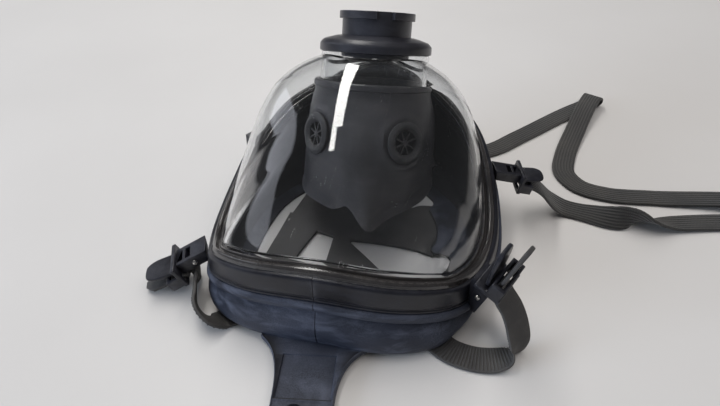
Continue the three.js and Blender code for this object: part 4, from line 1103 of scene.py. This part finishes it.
def sleeve_points(turns, radius, down):
    angle = np.radians(turns)
    local = np.stack([radius * np.sin(angle), -radius * np.cos(angle), np.full_like(angle, -down)], axis=-1)
    return at_port(local)


def cup_points(turns, share):
    start = sleeve_points(turns, SLEEVE["outer"], SLEEVE["bottom"] - SLEEVE["turn"])
    middle = sleeve_points(np.zeros(1), 0, SLEEVE["bottom"] + CUP["middle"])
    away = start - middle
    away /= np.linalg.norm(away, axis=1)[:, None]
    swell = CUP["bulge"] * math.sin(math.pi * share ** CUP["power"])
    flap = smooth_step(share, CUP_SOFTNESS["start"], 1.0)
    edge = cup_rim(turns, CUP_SOFTNESS["body"]) * (1 - flap) + cup_rim(turns, CUP_SOFTNESS["edge"]) * flap
    return start * (1 - share) + edge * share + away * swell


def cup_normals(turns, share):
    around = cup_points((turns + 4) % 360, share) - cup_points((turns - 4) % 360, share)
    down = cup_points(turns, min(share + 0.02, 1)) - cup_points(turns, max(share - 0.02, 0))
    normal = -np.cross(around, down)
    return normal / np.linalg.norm(normal, axis=1)[:, None]


def valve_place(side):
    """Matrix from a valve's own axes to the mask's frame, in millimetres."""
    turn = np.array([VALVE["turn"] if side == "right" else 360 - VALVE["turn"]], float)
    normal = Vector(cup_normals(turn, VALVE["along"])[0])
    across = Vector((0, 0, 1)).cross(normal).normalized()
    up = normal.cross(across)
    middle = Vector(cup_points(turn, VALVE["along"])[0]) + normal * GAP
    matrix = Matrix((across, up, normal)).transposed().to_4x4()
    matrix.translation = middle
    return matrix


def moved(points, matrix):
    turn = np.array(matrix)
    return np.asarray(points) @ turn[:3, :3].T + turn[:3, 3]


def build_nose_cup():
    turns = np.arange(0, 360, CUP_TURN_STEP)
    off = np.minimum(turns, 360 - turns)
    places = [valve_place(side) for side in ("left", "right")]
    outside = []
    inside = []
    for share in CUP_ROWS:
        place = cup_points(turns, share)
        normal = cup_normals(turns, share)
        ridge = RIDGE["height"] * np.exp(-((off / RIDGE["turn"]) ** 2))
        ridge *= smooth_step(share, RIDGE["start"], RIDGE["full"])
        raised = ridge + CUP_EDGE["height"] * smooth_step(share, CUP_EDGE["start"], CUP_EDGE["full"])
        for valve in places:
            away = np.linalg.norm(place - np.array(valve.translation), axis=1)
            raised += BOSS["height"] * (smooth_step(away, *BOSS["seat"]) - smooth_step(away, *BOSS["edge"]))
        outside.append(place + normal * raised[:, None])
        inside.append(place - normal * (CUP["wall"] - ridge * RIDGE["hollow"])[:, None])
    wide, top = SLEEVE["outer"], SLEEVE["top"]
    band = [
        (SLEEVE["inner"], top), (wide, top), (wide + 0.7, top + 0.7), (wide + 0.7, top + 3.6),
        (wide, top + 4.2), (wide, SLEEVE["bottom"] - SLEEVE["turn"]),
    ]
    rows = [sleeve_points(turns, radius, down) for radius, down in band]
    rows += outside + inside[::-1] + [sleeve_points(turns, SLEEVE["inner"], SLEEVE["bottom"])]
    points, faces = skin(rows, rows_close=True)
    cup = piece_from("nose_cup_skin", points, faces, CUP_RUBBER)
    for valve in places:
        points, faces = rod(VALVE["hole"], -VALVE["drill"], VALVE["drill"], 48)
        joined(cup, piece_from("drill", moved(points, valve), faces, CUP_RUBBER), "DIFFERENCE")
    finished(cup, "cup", "nose_cup")


def turned_in_valve(name, corners, rounding, sides, place, material):
    """A round piece on a valve's axis."""
    points, faces = turned(rounded_profile(corners, rounding), sides)
    return piece_from(name, moved(points, place), faces, material)


def build_valves():
    sleeve, wide, opening = VALVE["sleeve"], VALVE["radius"], VALVE["opening"]
    bore, low, top = sleeve - VALVE["wall"], -VALVE["depth"], VALVE["height"]
    corners = [
        (bore, low), (sleeve, low), (sleeve, 0.2), (wide, 0.2), (wide, 1.2), (opening + 1.2, top),
        (opening, top), (bore, 0.6),
    ]
    for side in ("left", "right"):
        place = valve_place(side)
        seat = turned_in_valve(f"valve_seat_{side}", corners, 0.4, 64, place, VALVE_RUBBER)
        finished(seat, "cup", f"valve_{side}")
        spokes = grown(f"valve_spokes_{side}", SPOKES, {**SPOKE, "Material": VALVE_RUBBER})
        matrix = place.copy()
        matrix.translation *= MM
        spokes.data.transform(Matrix.Translation(MASK_PLACE) @ matrix)
        dress(spokes, "cup")
        flap = turned_in_valve(f"valve_flap_{side}", VALVE_FLAP, 0.2, 40, place, FRAME_PLASTIC)
        dress(flap, "cup")
        hub = turned_in_valve(f"valve_hub_{side}", VALVE_HUB, 0.3, 24, place, CUP_RUBBER)
        dress(hub, "cup")


# Straps

def strap_frames(table, steps):
    """Middle line, width direction, face direction and width of a strap, evened out along its length."""
    table = np.asarray(table, float)
    shares = np.linspace(0, 1, steps)
    middle = curve_at(table[:, :3], shares, False)
    place = shares * (len(table) - 1)
    numbers = np.arange(len(table))
    across = np.radians(np.interp(place, numbers, table[:, 3]))
    lift = np.radians(np.interp(place, numbers, table[:, 4]))
    widths = table[:, 5] if table.shape[1] > 5 else np.full(len(table), STRAP["width"], float)
    width = np.interp(place, numbers, widths)
    side = np.column_stack([np.cos(across) * np.cos(lift), np.sin(across) * np.cos(lift), np.sin(lift)])
    ran = np.concatenate([[0], np.cumsum(np.linalg.norm(np.diff(middle, axis=0), axis=1))])
    even = np.linspace(0, ran[-1], steps)
    middle, side = looked_up(even, ran, middle), looked_up(even, ran, side)
    width = np.interp(even, ran, width)
    span = STRAP["softness"] / (ran[-1] / steps)
    reach = int(3 * span)
    kernel = np.exp(-0.5 * (np.arange(-reach, reach + 1) / span) ** 2)
    kernel /= kernel.sum()
    side = np.column_stack([np.convolve(np.pad(c, reach, mode="edge"), kernel, mode="valid") for c in side.T])
    tangent = np.gradient(middle, axis=0)
    tangent /= np.linalg.norm(tangent, axis=1)[:, None]
    side -= tangent * np.einsum("ij,ij->i", side, tangent)[:, None]
    side /= np.linalg.norm(side, axis=1)[:, None]
    return middle, side, np.cross(tangent, side), width, ran[-1]


# Half of a strap's section, from edge to edge: share of the half width, share of the half thickness
STRAP_HALF = [
    (-1, -0.35), (-0.97, -0.8), (-0.9, -1), (-0.45, -1), (0, -1), (0.45, -1), (0.9, -1), (0.97, -0.8),
    (1, -0.35),
]
STRAP_SECTION = STRAP_HALF + [(-share, -thick) for share, thick in STRAP_HALF]


def strap_piece(name, table, steps, material):
    """A strap's mesh, with a map in millimetres across and along it."""
    middle, side, face, width, length = strap_frames(table, steps)
    rows = np.stack([middle + side * (s * width / 2)[:, None] + face * (f * STRAP["thick"] / 2)
                     for s, f in STRAP_SECTION], axis=1)
    sunk = np.maximum(FLOOR - rows[:, :, 2].min(axis=1), 0)
    rows[:, :, 2] += sunk[:, None]
    middle = middle + np.column_stack([np.zeros((steps, 2)), sunk])
    points, faces = skin(rows, ends=True)
    piece = piece_from(name, points, faces, material, clean=False)
    size = len(STRAP_SECTION)
    chart = piece.data.uv_layers.new(name="strap")
    corners = np.empty(len(piece.data.loops), np.int32)
    piece.data.loops.foreach_get("vertex_index", corners)
    across = np.array([s for s, _ in STRAP_SECTION])[corners % size] * STRAP["width"] / 2
    along = (corners // size) * length / (steps - 1)
    chart.data.foreach_set("uv", np.column_stack([across, along]).astype(np.float32).ravel())
    return piece, middle, side, face, length


def build_ribs(name, middle, side, face, length, first, last):
    """Ribs on the inner face of a strap, from one share of its length to another."""
    steps = len(middle)
    places = np.linspace(first, last, int(length * (last - first) / RIB_PITCH)) * (steps - 1)
    spots, wide, up = [looked_up(places, np.arange(steps), grid) for grid in (middle, side, -face)]
    wide /= np.linalg.norm(wide, axis=1)[:, None]
    ahead = np.cross(wide, up)
    spots += up * (STRAP["thick"] / 2 - RIB_SUNK)
    turns = [Matrix((a, w, u)).transposed().to_euler() for a, w, u in zip(ahead, wide, up)]
    points = {"co": (spots * MM + MASK_PLACE).tolist(), "turn": [tuple(t) for t in turns]}
    ribs = grown(name, RIBS, {**RIB, "Material": STRAP_RUBBER}, points)
    dress(ribs, "strap")


def build_straps():
    for side, table, steps, first in (("left", TEMPLE_LEFT, 260, 0.3), ("right", TEMPLE_RIGHT, 360, 0.22)):
        strap, *lines = strap_piece(f"head_strap_{side}", table, steps, STRAP_RUBBER)
        finished(strap, "strap", f"temple_strap_{side}")
        build_ribs(f"head_strap_ribs_{side}", *lines, first, RIB_END)
    neck, *_ = strap_piece("neck_strap_band", NECK_STRAP, 900, WEBBING)
    finished(neck, "webbing", "neck_strap")


# Buckles, rivets and harness, from the solids with rounded edges

def rounded_copy(node_name, piece_name, material, width, slot, segments=2):
    """A copy of a solid's mesh with its flat faces merged and its edges rounded."""
    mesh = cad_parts[node_name].data.copy()
    mesh.name = piece_name
    mesh.materials.clear()
    mesh.materials.append(material)
    shape = bmesh.new()
    shape.from_mesh(mesh)
    bmesh.ops.remove_doubles(shape, verts=shape.verts, dist=SAME_POINT)
    bmesh.ops.dissolve_limit(shape, angle_limit=math.radians(1.5), verts=shape.verts, edges=shape.edges)
    shape.to_mesh(mesh)
    shape.free()
    piece = placed(piece_name, mesh)
    bevel = piece.modifiers.new("rounded edges", "BEVEL")
    bevel.width = width * MM
    bevel.segments = segments
    bevel.limit_method = "ANGLE"
    bevel.angle_limit = math.radians(30)
    settled(piece, 40)
    return finished(piece, slot, node_name)


# Pieces of a strap's fastening: node, piece, rounding of its edges, segments of the rounding
FASTENING = [
    ("link", "strap_link", 0.8, 3), ("buckle", "strap_buckle", 0.6, 2), ("lever", "release_lever", 0.8, 3),
]


def build_fastenings():
    for place in ("temple", "jaw"):
        for side in ("left", "right"):
            for kind, called, width, segments in FASTENING:
                names = f"{place}_{kind}_{side}", f"{place}_{called}_{side}"
                rounded_copy(*names, FRAME_PLASTIC, width, "plastic", segments)
            if place == "temple":
                rounded_copy(f"temple_rivet_{side}", f"link_rivet_{side}", STEEL, 0.3, "steel", 3)
    rounded_copy("head_harness", "harness_web", STRAP_RUBBER, 0.7, "strap", 3)


# Floor, light and camera

def build_stage():
    mesh = bpy.data.meshes.new("table")
    corners = [(x * TABLE_HALF, y * TABLE_HALF, 0) for x, y in ((-1, -1), (1, -1), (1, 1), (-1, 1))]
    mesh.from_pydata(corners, [], [(0, 1, 2, 3)])
    table = placed("table", mesh)
    material, tree, shader, _, place = new_material("pale table")
    mottle = noise(tree, place, 6.0, 4.0)
    colour = blended(tree, mottle, (0.60, 0.585, 0.575), (0.66, 0.645, 0.635))
    tree.links.new(colour, shader.inputs["Base Color"])
    shader.inputs["Roughness"].default_value = 0.45
    mesh.materials.append(material)


def lamp(name, place, target, size, power, colour, mirrored_in_visor=True):
    """A rectangular soft lamp at a place in the mask's frame, in millimetres, facing a target there."""
    data = bpy.data.lights.new(name, "AREA")
    data.shape = "RECTANGLE"
    data.size, data.size_y = size
    data.energy = power
    data.color = colour
    light = placed(name, data)
    at = Vector(np.array(place) * MM + MASK_PLACE)
    way = Vector(np.array(target) * MM + MASK_PLACE) - at
    light.location = at
    light.rotation_euler = way.to_track_quat("-Z", "Y").to_euler()
    light.visible_glossy = mirrored_in_visor
    light.visible_transmission = mirrored_in_visor
    return light


def build_light():
    world = bpy.data.worlds.new("soft room")
    bpy.context.scene.world = world
    world.use_nodes = True
    room = world.node_tree.nodes["Background"].inputs
    room["Color"].default_value = (0.85, 0.86, 0.9, 1.0)
    room["Strength"].default_value = 0.12
    for x, y, length in TUBES:
        place = (x, y, TUBE_HEIGHT)
        tube = lamp("ceiling tube", place, (x, y, 0), (0.11, length), 4.2 * length, (1.0, 0.985, 0.95))
        tube.rotation_euler.rotate_axis("Z", 0.075)
    window = lamp("left window", (-1500, 148, 853), (0, 148, 853), (1.5, 0.47), 2.6, (0.87, 0.9, 1.0))
    window.rotation_euler.rotate_axis("Z", 0.59)
    lamp("soft ceiling", (560, 100, 1600), (40, 0, 0), (1.8, 1.8), 15.8, (1.0, 0.965, 0.935), False)
    lamp("left fill", (-2300, -1600, 720), (-40, -40, 30), (1.8, 1.2), 72.0, (0.74, 0.85, 1.0), False)


def build_camera():
    data = bpy.data.cameras.new("photo view")
    data.sensor_width = 36.0
    data.sensor_fit = "HORIZONTAL"
    data.lens = CAMERA["focal"] / CAMERA["width"] * data.sensor_width
    data.clip_start = 0.01
    camera = placed("photo view", data)
    yaw, pitch, roll = CAMERA["yaw"], CAMERA["pitch"], CAMERA["roll"]
    ahead = Vector((-math.sin(yaw) * math.cos(pitch), math.cos(yaw) * math.cos(pitch), -math.sin(pitch)))
    right = Vector((math.cos(yaw), math.sin(yaw), 0))
    up = right.cross(ahead)
    across = right * math.cos(roll) + up * math.sin(roll)
    above = up * math.cos(roll) - right * math.sin(roll)
    matrix = Matrix((across, above, -ahead)).transposed().to_4x4()
    matrix.translation = Vector(np.array(CAMERA["place"]) * MM + MASK_PLACE)
    camera.matrix_world = matrix
    bpy.context.scene.camera = camera


build_visor()
build_frame()
build_bead()
build_seal()
build_stud()
build_collar()
build_spigot()
build_nose_cup()
build_valves()
build_straps()
build_fastenings()
build_stage()
build_light()
build_camera()
bpy.context.scene.view_settings.view_transform = "Standard"
